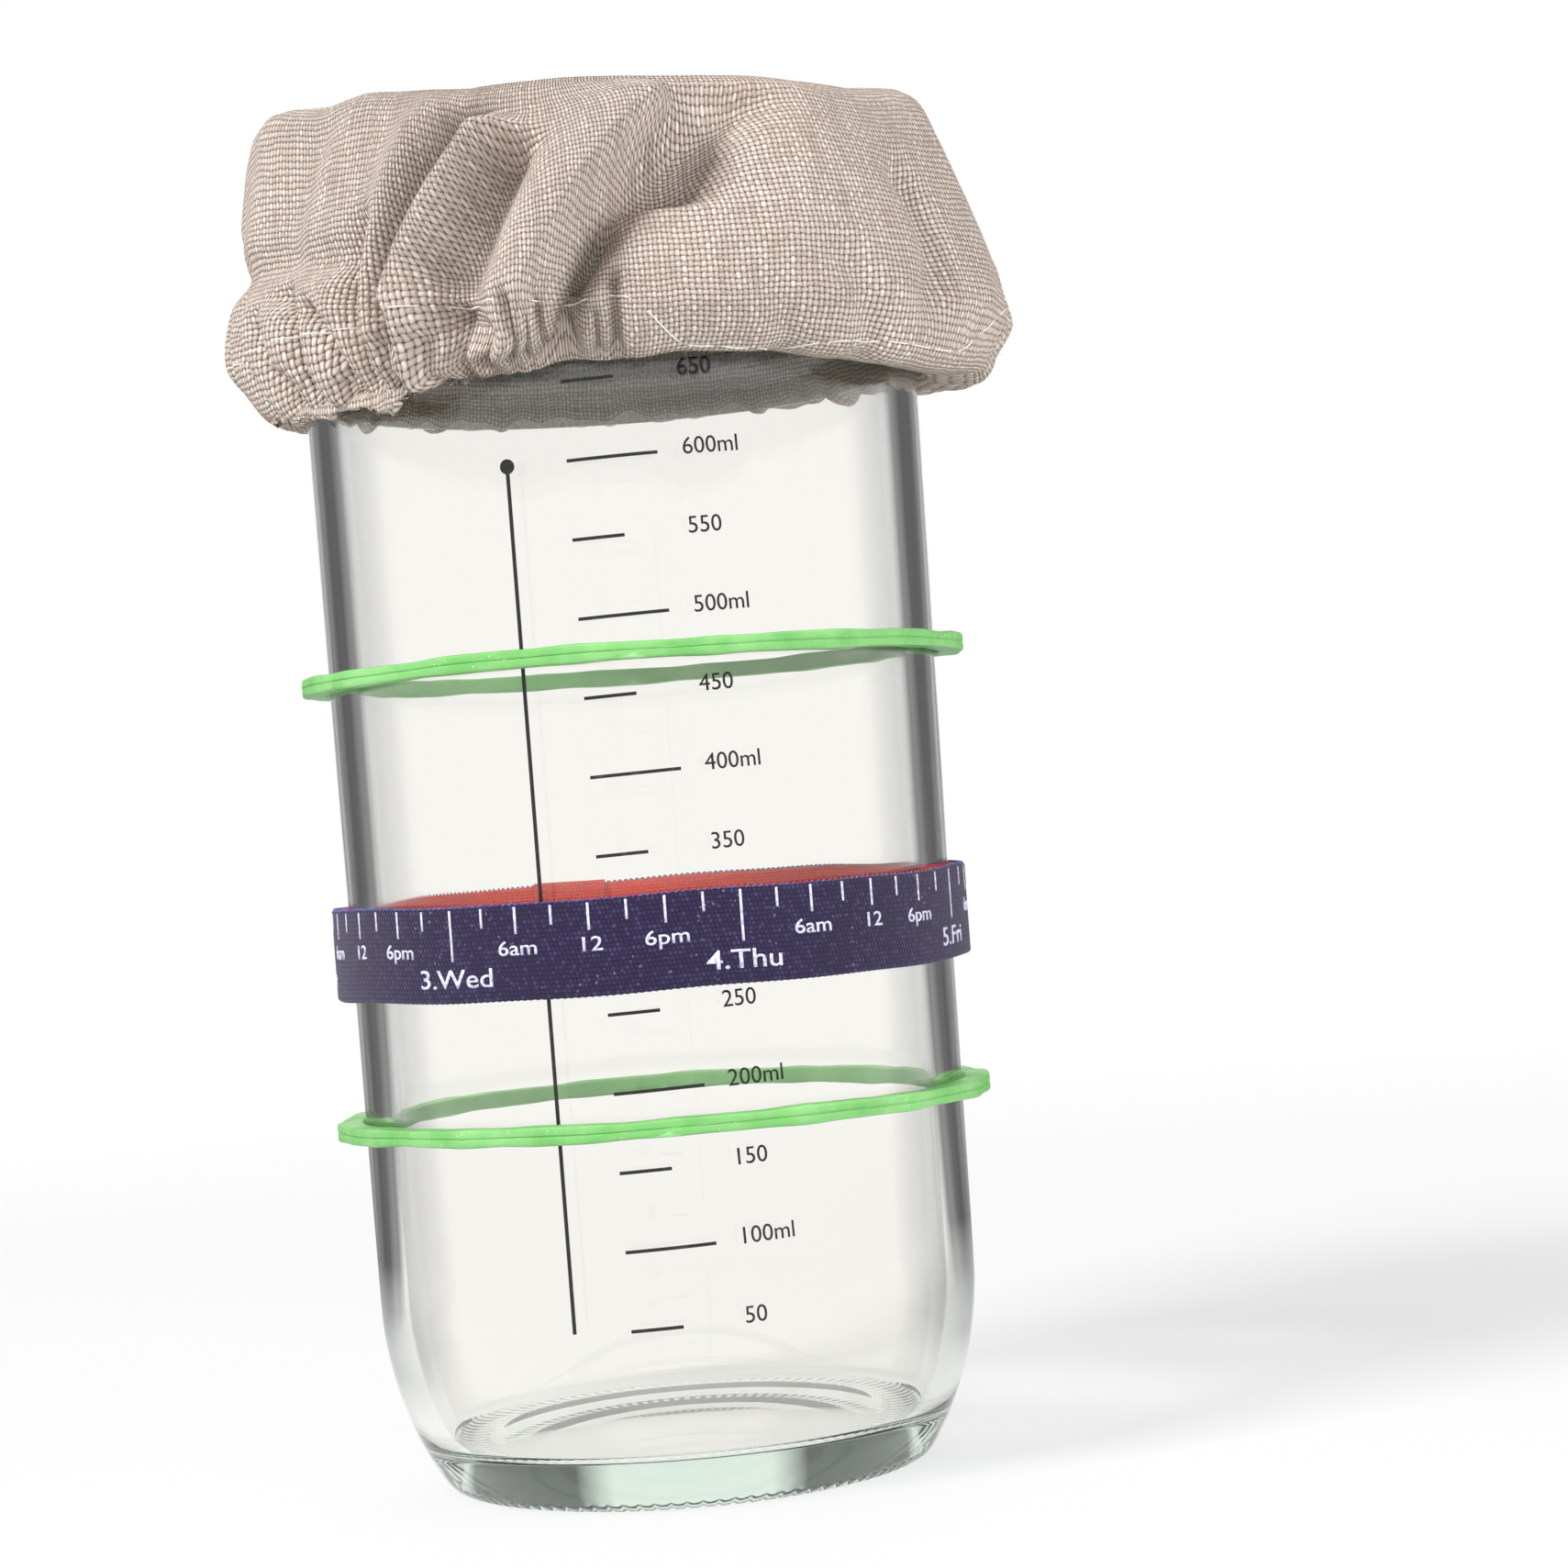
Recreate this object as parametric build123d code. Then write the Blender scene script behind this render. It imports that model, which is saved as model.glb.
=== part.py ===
"""A tall glass jar for keeping a sourdough starter, with its cloth cover, day band and level rings.

The jar stands on the plane z = 0 with its axis on Z, and the printed scale faces -Y.
Every length is in millimetres.
"""

import os
from math import asin, cos, degrees, pi, sin, sqrt

from build123d import *

# Glass jar
jar_height = 189.0
heel_top_radius = 42.3
wall_draft = 1.4
shoulder_height = 160.0
wall = 3.9
heel_height = 27.0
heel_curve = 48.0
foot_round = 4.5
bearing_width = 3.4
push_up = 3.0
floor_height = 7.6
floor_crown = 0.8
floor_round = 4.0
neck_recess = 1.8
neck_wall = 3.3
shoulder_rise = 3.5
bead_height = 8.5
bead_stand = 1.5
rim_round = 1.4

# Print on the glass
ink = 0.12
mark_width = 0.45
long_mark = 12.0
short_mark = 6.9
mark_offset = 6.65
mark_pitch = 10.43
first_mark_height = 25.5
mark_count = 13
print_slope_angle = 1.7
feed_line_width = 0.5
feed_line_angle = 19.5
feed_line_marks = 11
feed_dot_radius = 1.0

# Cloth cover
cloth = 0.9
clearance = 0.3
lining_gap = 0.1
cover_drop = 36.5
hem_fold_height = 8.5
hem_slack = 0.2
cover_bulge = 6.8
cover_offset = 0.9
crown_overhang = 1.4
gather_depth = 3.6
gather_count = 26
gather_bunching_share = 0.4
gather_side_angle = 235.0
gather_twist_angle = 18.0
elastic_width = 6.0
elastic_thickness = 0.8
stitch_length = 2.4
stitch_thickness = 0.35
stitch_stand = 0.25

# Day band
band_height = 70.0
band_width = 12.6
band_face = 0.9
band_lining_thickness = 0.5
lap_thickness = 0.6
lap_length = 12.0
lap_rise = 0.5
lap_angle = 107.5
lap_stitch_count = 4
lap_stitch_length = 1.8
lap_stitch_inset = 1.5

# Level rings
ring_width = 3.3
ring_height = 2.4
ring_edge = 0.6
upper_ring_marks = 8.5
lower_ring_marks = 2.5
upper_ring_travel = 35.0
lower_ring_travel = 16.0

# How much longer a cutting or trimming solid is than what it trims
overrun = 2.0

# The cover's outline from hem to crown: height, bulge and depth of the gathers
cover_level_shares = (
    (0.00, 0.00, 0.30),
    (0.10, 0.70, 0.75),
    (0.24, 1.00, 1.00),
    (0.46, 0.80, 0.75),
    (0.70, 0.52, 0.50),
    (0.92, 0.18, 0.25),
)
stitch_level = 1
crown_edge_share = 0.98
crown_edge_width_share = 0.60


def glass_radius(height):
    """Outside radius of the glass between the heel and the shoulder."""
    return heel_top_radius + wall_draft * (height - heel_height) / (shoulder_height - heel_height)


shoulder_radius = heel_top_radius + wall_draft
neck_radius = shoulder_radius - neck_recess
mouth_radius = neck_radius - neck_wall
bead_radius = neck_radius + bead_stand
hem_height = jar_height + clearance + cloth - cover_drop - cloth
cover_height = jar_height + clearance + cloth - hem_height
fold_radius = max(glass_radius(hem_height + hem_fold_height), shoulder_radius) + clearance
elastic_radius = fold_radius + cloth + lining_gap
hem_gather = gather_depth * cover_level_shares[0][2]
hem_radius = elastic_radius + elastic_thickness + cloth + hem_gather + cover_offset + hem_slack
crown_radius = bead_radius + crown_overhang
lap_radius = glass_radius(band_height + band_width) + clearance
lining_radius = lap_radius + lap_thickness
face_radius = lining_radius + band_lining_thickness


def around(degree, radius):
    """The point at this angle from +X, seen from above."""
    turn = degree * pi / 180
    return radius * cos(turn), radius * sin(turn)


def rounded(outline, corner, radius):
    """The outline with the corner nearest to this point rounded."""
    return fillet(outline.vertices().sort_by_distance(corner)[0], radius)


def dome(radius, low, rise):
    """Half of a shallow dome's outline, level where it meets the axis."""
    ball = (radius**2 + rise**2) / (2 * rise)
    drop = ball - sqrt(ball**2 - (radius / 2) ** 2)
    return ThreePointArc((0, low + rise), (radius / 2, low + rise - drop), (radius, low))


def heel_arc(start_radius, curve, low):
    """A heel from the level low up to the height where the wall begins."""
    centre = start_radius - curve
    middle = (low + heel_height) / 2
    points = []
    for height in (low, middle, heel_height):
        reach = sqrt(curve**2 - (heel_height - height) ** 2)
        points.append((centre + reach, height))
    return ThreePointArc(*points)


def make_glass_jar():
    """The jar, turned: punted base, long heel, drafted wall, neck groove and beaded rim."""
    heel = heel_arc(heel_top_radius, heel_curve, 0)
    inside_heel = heel_arc(heel_top_radius - wall, heel_curve - wall, floor_height)
    foot = heel @ 0
    floor_edge = inside_heel @ 0
    bearing_inside = foot.X - foot_round / 2 - bearing_width
    bead_bottom = jar_height - bead_height
    neck_bottom = shoulder_height + shoulder_rise
    inner_shoulder = shoulder_radius - wall
    edges = [
        dome(bearing_inside, 0, push_up),
        Line((bearing_inside, 0), foot),
        heel,
        Line(heel @ 1, (shoulder_radius, shoulder_height)),
        Line((shoulder_radius, shoulder_height), (neck_radius, neck_bottom)),
        Line((neck_radius, neck_bottom), (neck_radius, bead_bottom - bead_stand)),
        Line((neck_radius, bead_bottom - bead_stand), (bead_radius, bead_bottom)),
        Line((bead_radius, bead_bottom), (bead_radius, jar_height)),
        Line((bead_radius, jar_height), (mouth_radius, jar_height)),
        Line((mouth_radius, jar_height), (mouth_radius, neck_bottom)),
        Line((mouth_radius, neck_bottom), (inner_shoulder, shoulder_height - shoulder_rise)),
        Line((inner_shoulder, shoulder_height - shoulder_rise), inside_heel @ 1),
        inside_heel,
        dome(floor_edge.X, floor_height, floor_crown),
        Line((0, floor_height + floor_crown), (0, push_up)),
    ]
    outline = make_face(edges)
    outline = rounded(outline, foot, foot_round)
    outline = rounded(outline, floor_edge, floor_round)
    outline = rounded(outline, (shoulder_radius, shoulder_height), shoulder_rise)
    outline = rounded(outline, (bead_radius, bead_bottom), rim_round)
    outline = rounded(outline, (bead_radius, jar_height), rim_round)
    outline = rounded(outline, (mouth_radius, jar_height), rim_round)
    return revolve(Plane.XZ * outline, Axis.Z)


def ink_skin():
    """A skin of ink over the front of the drafted wall, from which the print is cut."""
    low = first_mark_height - overrun
    high = shoulder_height - overrun
    outline = Polygon(
        (glass_radius(low), low),
        (glass_radius(low) + ink, low),
        (glass_radius(high) + ink, high),
        (glass_radius(high), high),
        align=None,
    )
    return revolve(Plane.XZ * outline, Axis.Z)


def cutter_depth():
    """How deep a block must be to reach through the ink from outside."""
    return shoulder_radius / 2


def mark_height(count):
    """Height of a scale mark, counted from the lowest."""
    return first_mark_height + mark_pitch * count


def make_volume_scale():
    """The printed scale: long marks at the hundreds and short ones between them."""
    skin = ink_skin()
    marks = []
    for count in range(mark_count):
        length = long_mark if count % 2 else short_mark
        start = (-mark_offset, -shoulder_radius, mark_height(count))
        block = Box(length, cutter_depth(), mark_width, align=(Align.MIN, Align.CENTER, Align.CENTER))
        marks.append(skin & Pos(start) * Rot(0, -print_slope_angle, 0) * block)
    return Compound([solid for mark in marks for solid in mark.solids()])


def make_feed_line():
    """The printed pointer that a day on the band is turned to, with its dot at the top."""
    skin = ink_skin()
    low = first_mark_height
    high = mark_height(feed_line_marks)
    front = Rot(0, 0, -feed_line_angle) * Pos(0, -shoulder_radius, 0)
    bar = Box(feed_line_width, cutter_depth(), high - low, align=(Align.CENTER, Align.CENTER, Align.MIN))
    dot = Rot(90, 0, 0) * Cylinder(feed_dot_radius, cutter_depth())
    stamp = Pos(0, 0, low) * bar + Pos(0, 0, high) * dot
    return skin & (front * stamp)


def gather_edges(height):
    """The angles of the valleys between the gathers, bunched on one side and leaning as they rise."""
    turn_so_far = gather_twist_angle * (height - hem_height) / cover_height
    angles = []
    for count in range(gather_count):
        turn = 2 * pi * count / gather_count
        angles.append(degrees(turn - gather_bunching_share * sin(turn)) + gather_side_angle + turn_so_far)
    return angles


def gather_valley(count, depth):
    """How deep a valley is: deepest where the cloth is bunched, and uneven from one to the next."""
    turn = 2 * pi * count / gather_count
    bunched = (1 + cos(turn)) / 2
    uneven = 1 if count % 2 else 3 / 4
    return depth * (1 / 4 + 3 / 4 * bunched) * uneven


def cover_section(height, radius, depth):
    """The cover's outline at one height, one arc for each gather."""
    angles = gather_edges(height)
    arcs = []
    for count in range(gather_count):
        following = (count + 1) % gather_count
        start = angles[count]
        end = angles[following] + (360 if following == 0 else 0)
        valley = gather_valley(count, depth)
        next_valley = gather_valley(following, depth)
        arcs.append(
            ThreePointArc(
                (*around(start, radius - valley), height),
                (*around((start + end) / 2, radius), height),
                (*around(end, radius - next_valley), height),
            )
        )
    return arcs


def cover_sections(inset):
    """The outlines from hem to crown, drawn in by a cloth's thickness for the inside."""
    span = cover_height - inset
    levels = [
        (share * span, hem_radius + bulge * cover_bulge, gathers * gather_depth)
        for share, bulge, gathers in cover_level_shares
    ]
    edge_radius = crown_radius + (hem_radius - crown_radius) * crown_edge_width_share
    levels.append((crown_edge_share * span, edge_radius, levels[-1][2] / 4))
    levels.append((span, crown_radius, 0))
    return [
        (hem_height + rise, radius - inset, depth)
        for rise, radius, depth in levels
    ]


def cover_body(inset, reach):
    """The solid inside one skin of the cover, reaching a little below the hem."""
    sections = cover_sections(inset)
    faces = [make_face(cover_section(*level)) for level in sections]
    body = loft(faces)
    if reach:
        body += extrude(faces[0], -reach)
    return Pos(cover_offset, 0, 0) * body


def make_cloth_cover():
    """The cloth bonnet, with its hem turned up inside to hold the elastic."""
    shell = cover_body(0, 0) - cover_body(cloth, overrun)
    fold = Polygon(
        (fold_radius, hem_height),
        (hem_radius - hem_gather - cloth / 2, hem_height),
        (hem_radius - hem_gather - cloth / 2, hem_height + cloth),
        (fold_radius + cloth, hem_height + cloth),
        (fold_radius + cloth, hem_height + hem_fold_height),
        (fold_radius, hem_height + hem_fold_height),
        align=None,
    )
    return shell + revolve(Plane.XZ * fold, Axis.Z)


def make_cover_elastic():
    """The flat elastic that lies in the turned hem."""
    return Pos(0, 0, hem_height + cloth + lining_gap) * tube(
        elastic_radius, elastic_radius + elastic_thickness, elastic_width
    )


def tube(inside, outside, height):
    """A plain ring standing on z = 0."""
    low = (Align.CENTER, Align.CENTER, Align.MIN)
    return Cylinder(outside, height, align=low) - Cylinder(inside, height, align=low)


def make_hem_stitching():
    """The thread that closes the turned hem: one stitch on the crest of each gather."""
    height, radius, depth = cover_sections(0)[stitch_level]
    stitches = []
    for crest in cover_section(height, radius, depth):
        along = crest % 0.5
        outward = Vector(along.Y, -along.X, 0)
        seat = Plane(
            origin=crest @ 0.5 + outward * (stitch_thickness / 2 + stitch_stand),
            x_dir=along,
            z_dir=(0, 0, 1),
        )
        stitch = seat * Box(stitch_length, stitch_thickness, stitch_thickness)
        stitches.append(Pos(cover_offset, 0, 0) * stitch)
    return Compound([solid for stitch in stitches for solid in stitch.solids()])


def make_day_band():
    """The woven face of the band, a loop about the jar."""
    return Pos(0, 0, band_height) * tube(face_radius, face_radius + band_face, band_width)


def make_band_lining():
    """The band's inner layer."""
    return Pos(0, 0, band_height) * tube(lining_radius, face_radius, band_width)


def lap_wedge(inside, outside, height):
    """The part of a ring that the band's lap takes up."""
    half = lap_length / 2
    block = Box(
        outside * 2,
        half * 2,
        height,
        align=(Align.MIN, Align.CENTER, Align.MIN),
    )
    return tube(inside, outside, height) & (Rot(0, 0, lap_angle) * block)


def make_band_lap():
    """The end of the band, lapped inside the other end where the loop is sewn."""
    return Pos(0, 0, band_height) * lap_wedge(lap_radius, lining_radius, band_width + lap_rise)


def make_lap_stitching():
    """Two columns of stitches that sew the lap."""
    outside = face_radius + band_face
    turn = degrees(asin((lap_length / 2 - lap_stitch_inset) / outside))
    step = band_width / lap_stitch_count
    stitches = []
    for side in (-turn, turn):
        for count in range(lap_stitch_count):
            seat = Rot(0, 0, lap_angle + side) * Pos(
                outside + stitch_thickness / 2, 0, band_height + step * (count + 1 / 2)
            )
            stitches.append(seat * Box(stitch_thickness, stitch_thickness, lap_stitch_length))
    return Compound([solid for stitch in stitches for solid in stitch.solids()])


def make_level_ring(marks, travel):
    """A rubber ring that grips the glass, loose enough for the widest place it is pushed to."""
    height = mark_height(marks)
    inside = glass_radius(height + travel + ring_height / 2) + clearance
    section = Pos(inside + ring_width / 2, height) * Rectangle(ring_width, ring_height)
    section = chamfer(section.vertices(), ring_edge)
    return revolve(Plane.XZ * section, Axis.Z)


pieces = {
    "glass_jar": make_glass_jar(),
    "volume_scale": make_volume_scale(),
    "feed_line": make_feed_line(),
    "cloth_cover": make_cloth_cover(),
    "cover_elastic": make_cover_elastic(),
    "hem_stitching": make_hem_stitching(),
    "day_band": make_day_band(),
    "band_lining": make_band_lining(),
    "band_lap": make_band_lap(),
    "lap_stitching": make_lap_stitching(),
    "level_ring_upper": make_level_ring(upper_ring_marks, upper_ring_travel),
    "level_ring_lower": make_level_ring(lower_ring_marks, lower_ring_travel),
}

os.makedirs("parts", exist_ok=True)
for name, piece in pieces.items():
    export_step(piece, f"parts/{name}.step")
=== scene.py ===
"""The looks of a sourdough starter jar: clear glass with a printed scale, a gathered linen cover,
a woven day band and two rubber level rings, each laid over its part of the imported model.

Meshes are worked in millimetres and scaled to metres when they become pieces. An azimuth is
measured from the front of the jar, which faces -Y, and grows towards +X.
"""

import logging
import math
import random
from collections.abc import Callable, Iterable, Sequence
from dataclasses import dataclass, field
from enum import Enum
from typing import Any

import bmesh
import bpy
import numpy as np
from mathutils import Matrix, Vector
from mathutils.bvhtree import BVHTree


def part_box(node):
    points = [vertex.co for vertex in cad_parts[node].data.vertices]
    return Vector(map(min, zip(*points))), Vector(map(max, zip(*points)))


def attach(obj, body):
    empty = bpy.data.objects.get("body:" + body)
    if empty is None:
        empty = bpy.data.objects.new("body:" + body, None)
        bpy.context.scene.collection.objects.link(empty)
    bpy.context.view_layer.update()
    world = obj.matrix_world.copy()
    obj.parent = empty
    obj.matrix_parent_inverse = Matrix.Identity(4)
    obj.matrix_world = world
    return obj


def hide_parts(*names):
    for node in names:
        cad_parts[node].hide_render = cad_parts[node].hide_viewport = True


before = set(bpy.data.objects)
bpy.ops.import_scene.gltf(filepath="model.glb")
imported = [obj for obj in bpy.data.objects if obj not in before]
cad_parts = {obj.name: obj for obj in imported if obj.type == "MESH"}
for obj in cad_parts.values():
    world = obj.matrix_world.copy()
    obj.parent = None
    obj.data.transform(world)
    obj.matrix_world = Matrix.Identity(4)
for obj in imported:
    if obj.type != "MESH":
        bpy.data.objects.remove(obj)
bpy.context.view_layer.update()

log = logging.getLogger("starter_jar")

MM = 0.001
Point = tuple[float, float]
Colour = tuple[int, int, int]
Mesh = bmesh.types.BMesh
Socket = bpy.types.NodeSocket
Material = bpy.types.Material
WHITE = (1.0, 1.0, 1.0, 1.0)
LEVEL = (1.0, 1.0, 0.0)
MERGE_DISTANCE = 0.0005
LETTER_MERGE_DISTANCE = 1e-5
CAPITAL_SHARE = 0.72
SEAM = 0.1


class Body(Enum):
    """The parts that move apart from each other."""

    JAR = "jar"
    COVER = "cover"
    BAND = "band"
    UPPER_RING = "upper_ring"
    LOWER_RING = "lower_ring"


class Slot(Enum):
    """The record's finishes."""

    GLASS = "glass"
    PRINT = "print"
    LINEN = "cover_linen"
    ELASTIC = "elastic"
    THREAD = "white_thread"
    NAVY = "band_navy"
    RED = "band_red"
    RUBBER = "ring_rubber"


def tint(red: int, green: int, blue: int) -> tuple[float, float, float, float]:
    """Turns a colour as seen on a screen into the linear one that nodes use.

    Args:
        red: Red from 0 to 255.
        green: Green from 0 to 255.
        blue: Blue from 0 to 255.

    Returns:
        The linear colour with full alpha.
    """
    shares = [part / 255 for part in (red, green, blue)]
    linear = [s / 12.92 if s <= 0.04045 else ((s + 0.055) / 1.055) ** 2.4 for s in shares]
    return (*linear, 1.0)


def ease(low: float, high: float, value: Any) -> Any:
    """Rises smoothly from 0 at low to 1 at high, for a number or an array; falls where low is the larger."""
    share = np.clip((value - low) / (high - low), 0.0, 1.0)
    return share * share * (3 - 2 * share)


def wave_round(azimuth: Any, waves: float, shift: Any = 0.0) -> Any:
    """A wave that repeats this many times round the jar, shifted by some degrees, from -1 to 1."""
    return np.sin(np.radians(azimuth * waves + shift))


def at_azimuth(azimuth: float, radius: float, height: float) -> Vector:
    """The point at this azimuth in degrees, in millimetres."""
    turn = math.radians(azimuth)
    return Vector((radius * math.sin(turn), -radius * math.cos(turn), height))


def rounded(corners: Sequence[tuple[float, float, float]], steps: int = 6) -> list[Point]:
    """Rounds the corners of an outline.

    Args:
        corners: Radius and height of each corner, and how far back along its sides its bend starts.
        steps: Parts that a bend is made of.

    Returns:
        The outline's points.
    """
    points: list[Point] = []
    last = len(corners) - 1
    for count, (radius, height, reach) in enumerate(corners):
        here = Vector((radius, height))
        if not reach or count in (0, last):
            points.append((radius, height))
            continue
        back = Vector(corners[count - 1][:2]) - here
        on = Vector(corners[count + 1][:2]) - here
        start = here + back.normalized() * min(reach, back.length / 2)
        end = here + on.normalized() * min(reach, on.length / 2)
        for part in range(steps + 1):
            share = part / steps
            spot = start * (1 - share) ** 2 + here * 2 * share * (1 - share) + end * share**2
            points.append((spot.x, spot.y))
    return points


def turned(outline: Sequence[Point], steps: int, closed: bool = True, angle: float = 360.0) -> Mesh:
    """Spins an outline about the jar's axis, starting at the front.

    Args:
        outline: Radius and height of each point.
        steps: Parts that the turn is made of.
        closed: Whether the outline's end joins its start.
        angle: How far it turns, in degrees.

    Returns:
        The mesh, in millimetres.
    """
    bm = bmesh.new()
    verts = [bm.verts.new((0.0, -radius, height)) for radius, height in outline]
    edges = [bm.edges.new(pair) for pair in zip(verts, verts[1:])]
    if closed:
        edges.append(bm.edges.new((verts[-1], verts[0])))
    full = angle >= 360
    if not full:
        bm.faces.new(verts)
    bmesh.ops.spin(
        bm,
        geom=bm.verts[:] + bm.edges[:] + bm.faces[:],
        cent=(0, 0, 0),
        axis=(0, 0, 1),
        angle=math.radians(angle),
        steps=steps,
        use_merge=full,
    )
    bmesh.ops.remove_doubles(bm, verts=bm.verts, dist=MERGE_DISTANCE)
    bmesh.ops.recalc_face_normals(bm, faces=bm.faces)
    # Merging leaves points and faces in another order each run, and sums then end in other digits
    for parts, place in ((bm.verts, lambda v: v.co[:]), (bm.faces, lambda f: f.calc_center_median()[:])):
        ranks = {part: rank for rank, part in enumerate(sorted(parts, key=place))}
        parts.sort(key=ranks.get)
        parts.index_update()
    return bm


def to_array(bm: Mesh) -> np.ndarray:
    """The mesh's points as rows of three numbers."""
    return np.array([v.co for v in bm.verts], float).reshape(-1, 3)


def from_array(bm: Mesh, points: np.ndarray) -> None:
    """Moves the mesh's points to these rows of three numbers."""
    for vert, spot in zip(bm.verts, points):
        vert.co = spot


def wrap_uv(bm: Mesh, radius: float) -> None:
    """Gives a band round the jar a UV map in millimetres: along it and up it.

    Args:
        bm: The mesh, in millimetres.
        radius: The radius at which the length along the band is measured.
    """
    layer = bm.loops.layers.uv.new("wrap")
    for face in bm.faces:
        turns = [math.atan2(loop.vert.co.x, -loop.vert.co.y) for loop in face.loops]
        wraps = max(turns) - min(turns) > math.pi
        for loop, turn in zip(face.loops, turns):
            full = turn + math.tau if wraps and turn < 0 else turn
            spot = loop.vert.co
            depth = math.hypot(spot.x, spot.y) - radius
            loop[layer].uv = (full * radius, spot.z + depth)


def make_piece(
    bm: Mesh,
    name: str,
    body: Body,
    finish: Material,
    nodes: Sequence[str] = (),
) -> bpy.types.Object:
    """Makes a piece of the jar from a mesh in millimetres.

    Args:
        bm: The mesh, which is freed.
        name: The piece's name.
        body: What it moves with.
        finish: Its material.
        nodes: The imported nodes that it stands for.

    Returns:
        The piece, with its place in its mesh.
    """
    bmesh.ops.scale(bm, vec=(MM, MM, MM), verts=bm.verts)
    mesh = bpy.data.meshes.new(name)
    bm.to_mesh(mesh)
    bm.free()
    mesh.shade_smooth()
    mesh.materials.append(finish)
    piece = bpy.data.objects.new(name, mesh)
    bpy.context.scene.collection.objects.link(piece)
    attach(piece, body.value)
    if nodes:
        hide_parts(*nodes)
    log.info("%s: %d faces, rides on %s", name, len(mesh.polygons), body.value)
    return piece


def mesh_of(obj: bpy.types.Object) -> Mesh:
    """Reads a text or curve object as a mesh, and removes the object.

    Args:
        obj: The object, which is removed.

    Returns:
        Its mesh, merged.
    """
    bpy.context.scene.collection.objects.link(obj)
    graph = bpy.context.evaluated_depsgraph_get()
    mesh = bpy.data.meshes.new_from_object(obj.evaluated_get(graph))
    bm = bmesh.new()
    bm.from_mesh(mesh)
    bmesh.ops.remove_doubles(bm, verts=bm.verts, dist=LETTER_MERGE_DISTANCE)
    bpy.data.meshes.remove(mesh)
    bpy.data.objects.remove(obj)
    return bm


def threads(lines: Iterable[Sequence[Vector]], thickness: float, sides: int = 1) -> Mesh:
    """Makes thin threads along lines of points.

    Args:
        lines: The points that each thread passes near, in millimetres.
        thickness: How thick a thread is.
        sides: How round it is, as the curve's bevel resolution.

    Returns:
        The mesh of all of them.
    """
    curve = bpy.data.curves.new("threads", "CURVE")
    curve.dimensions = "3D"
    curve.bevel_depth = thickness / 2
    curve.bevel_resolution = sides
    curve.use_fill_caps = True
    curve.resolution_u = 3
    for line in lines:
        spline = curve.splines.new("NURBS")
        spline.points.add(len(line) - 1)
        for place, spot in zip(spline.points, line):
            place.co = (*spot, 1.0)
        spline.order_u = min(4, len(line))
        spline.use_endpoint_u = True
    return mesh_of(bpy.data.objects.new("threads", curve))


def lettering(words: str, height: float, weight: float = 0.0, depth: float = 0.06) -> Mesh:
    """Makes flat letters in the plane of X and Y, starting at the origin.

    Args:
        words: What is written.
        height: The height of a capital.
        weight: How much bolder the strokes are drawn.
        depth: Half of the letters' thickness.

    Returns:
        The mesh, in millimetres, with its letters facing +Z.
    """
    text = bpy.data.curves.new("letters", "FONT")
    text.body = words
    text.size = height / CAPITAL_SHARE
    text.offset = weight
    text.extrude = depth
    text.resolution_u = 4
    return mesh_of(bpy.data.objects.new("letters", text))


def wrap_on(bm: Mesh, azimuth: float, height: float, radius: Callable[[float], float], slope: float) -> None:
    """Lays a flat mesh round the jar.

    Args:
        bm: The mesh, in the plane of X and Y.
        azimuth: Where its origin goes, in degrees.
        height: How high its origin goes.
        radius: The radius of what it lies on, at a height.
        slope: How much its lines rise to the right, in degrees.
    """
    bmesh.ops.rotate(bm, cent=(0, 0, 0), matrix=Matrix.Rotation(math.radians(slope), 3, "Z"), verts=bm.verts)
    for vert in bm.verts:
        along, up, out = vert.co
        reach = radius(height + up)
        turn = math.radians(azimuth) + along / reach
        vert.co = at_azimuth(math.degrees(turn), reach + out, height + up)


def join(meshes: Iterable[Mesh]) -> Mesh:
    """Gathers several meshes in one.

    Args:
        meshes: The meshes, which are freed.

    Returns:
        The whole.
    """
    whole = bmesh.new()
    for bm in meshes:
        part = bpy.data.meshes.new("part")
        bm.to_mesh(part)
        bm.free()
        whole.from_mesh(part)
        bpy.data.meshes.remove(part)
    return whole


def give_finish(node: str, finish: Material) -> None:
    """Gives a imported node, whose shape stays as it is, its material.

    Args:
        node: The node's name.
        finish: The material.
    """
    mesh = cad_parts[node].data
    mesh.materials.clear()
    mesh.materials.append(finish)


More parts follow.
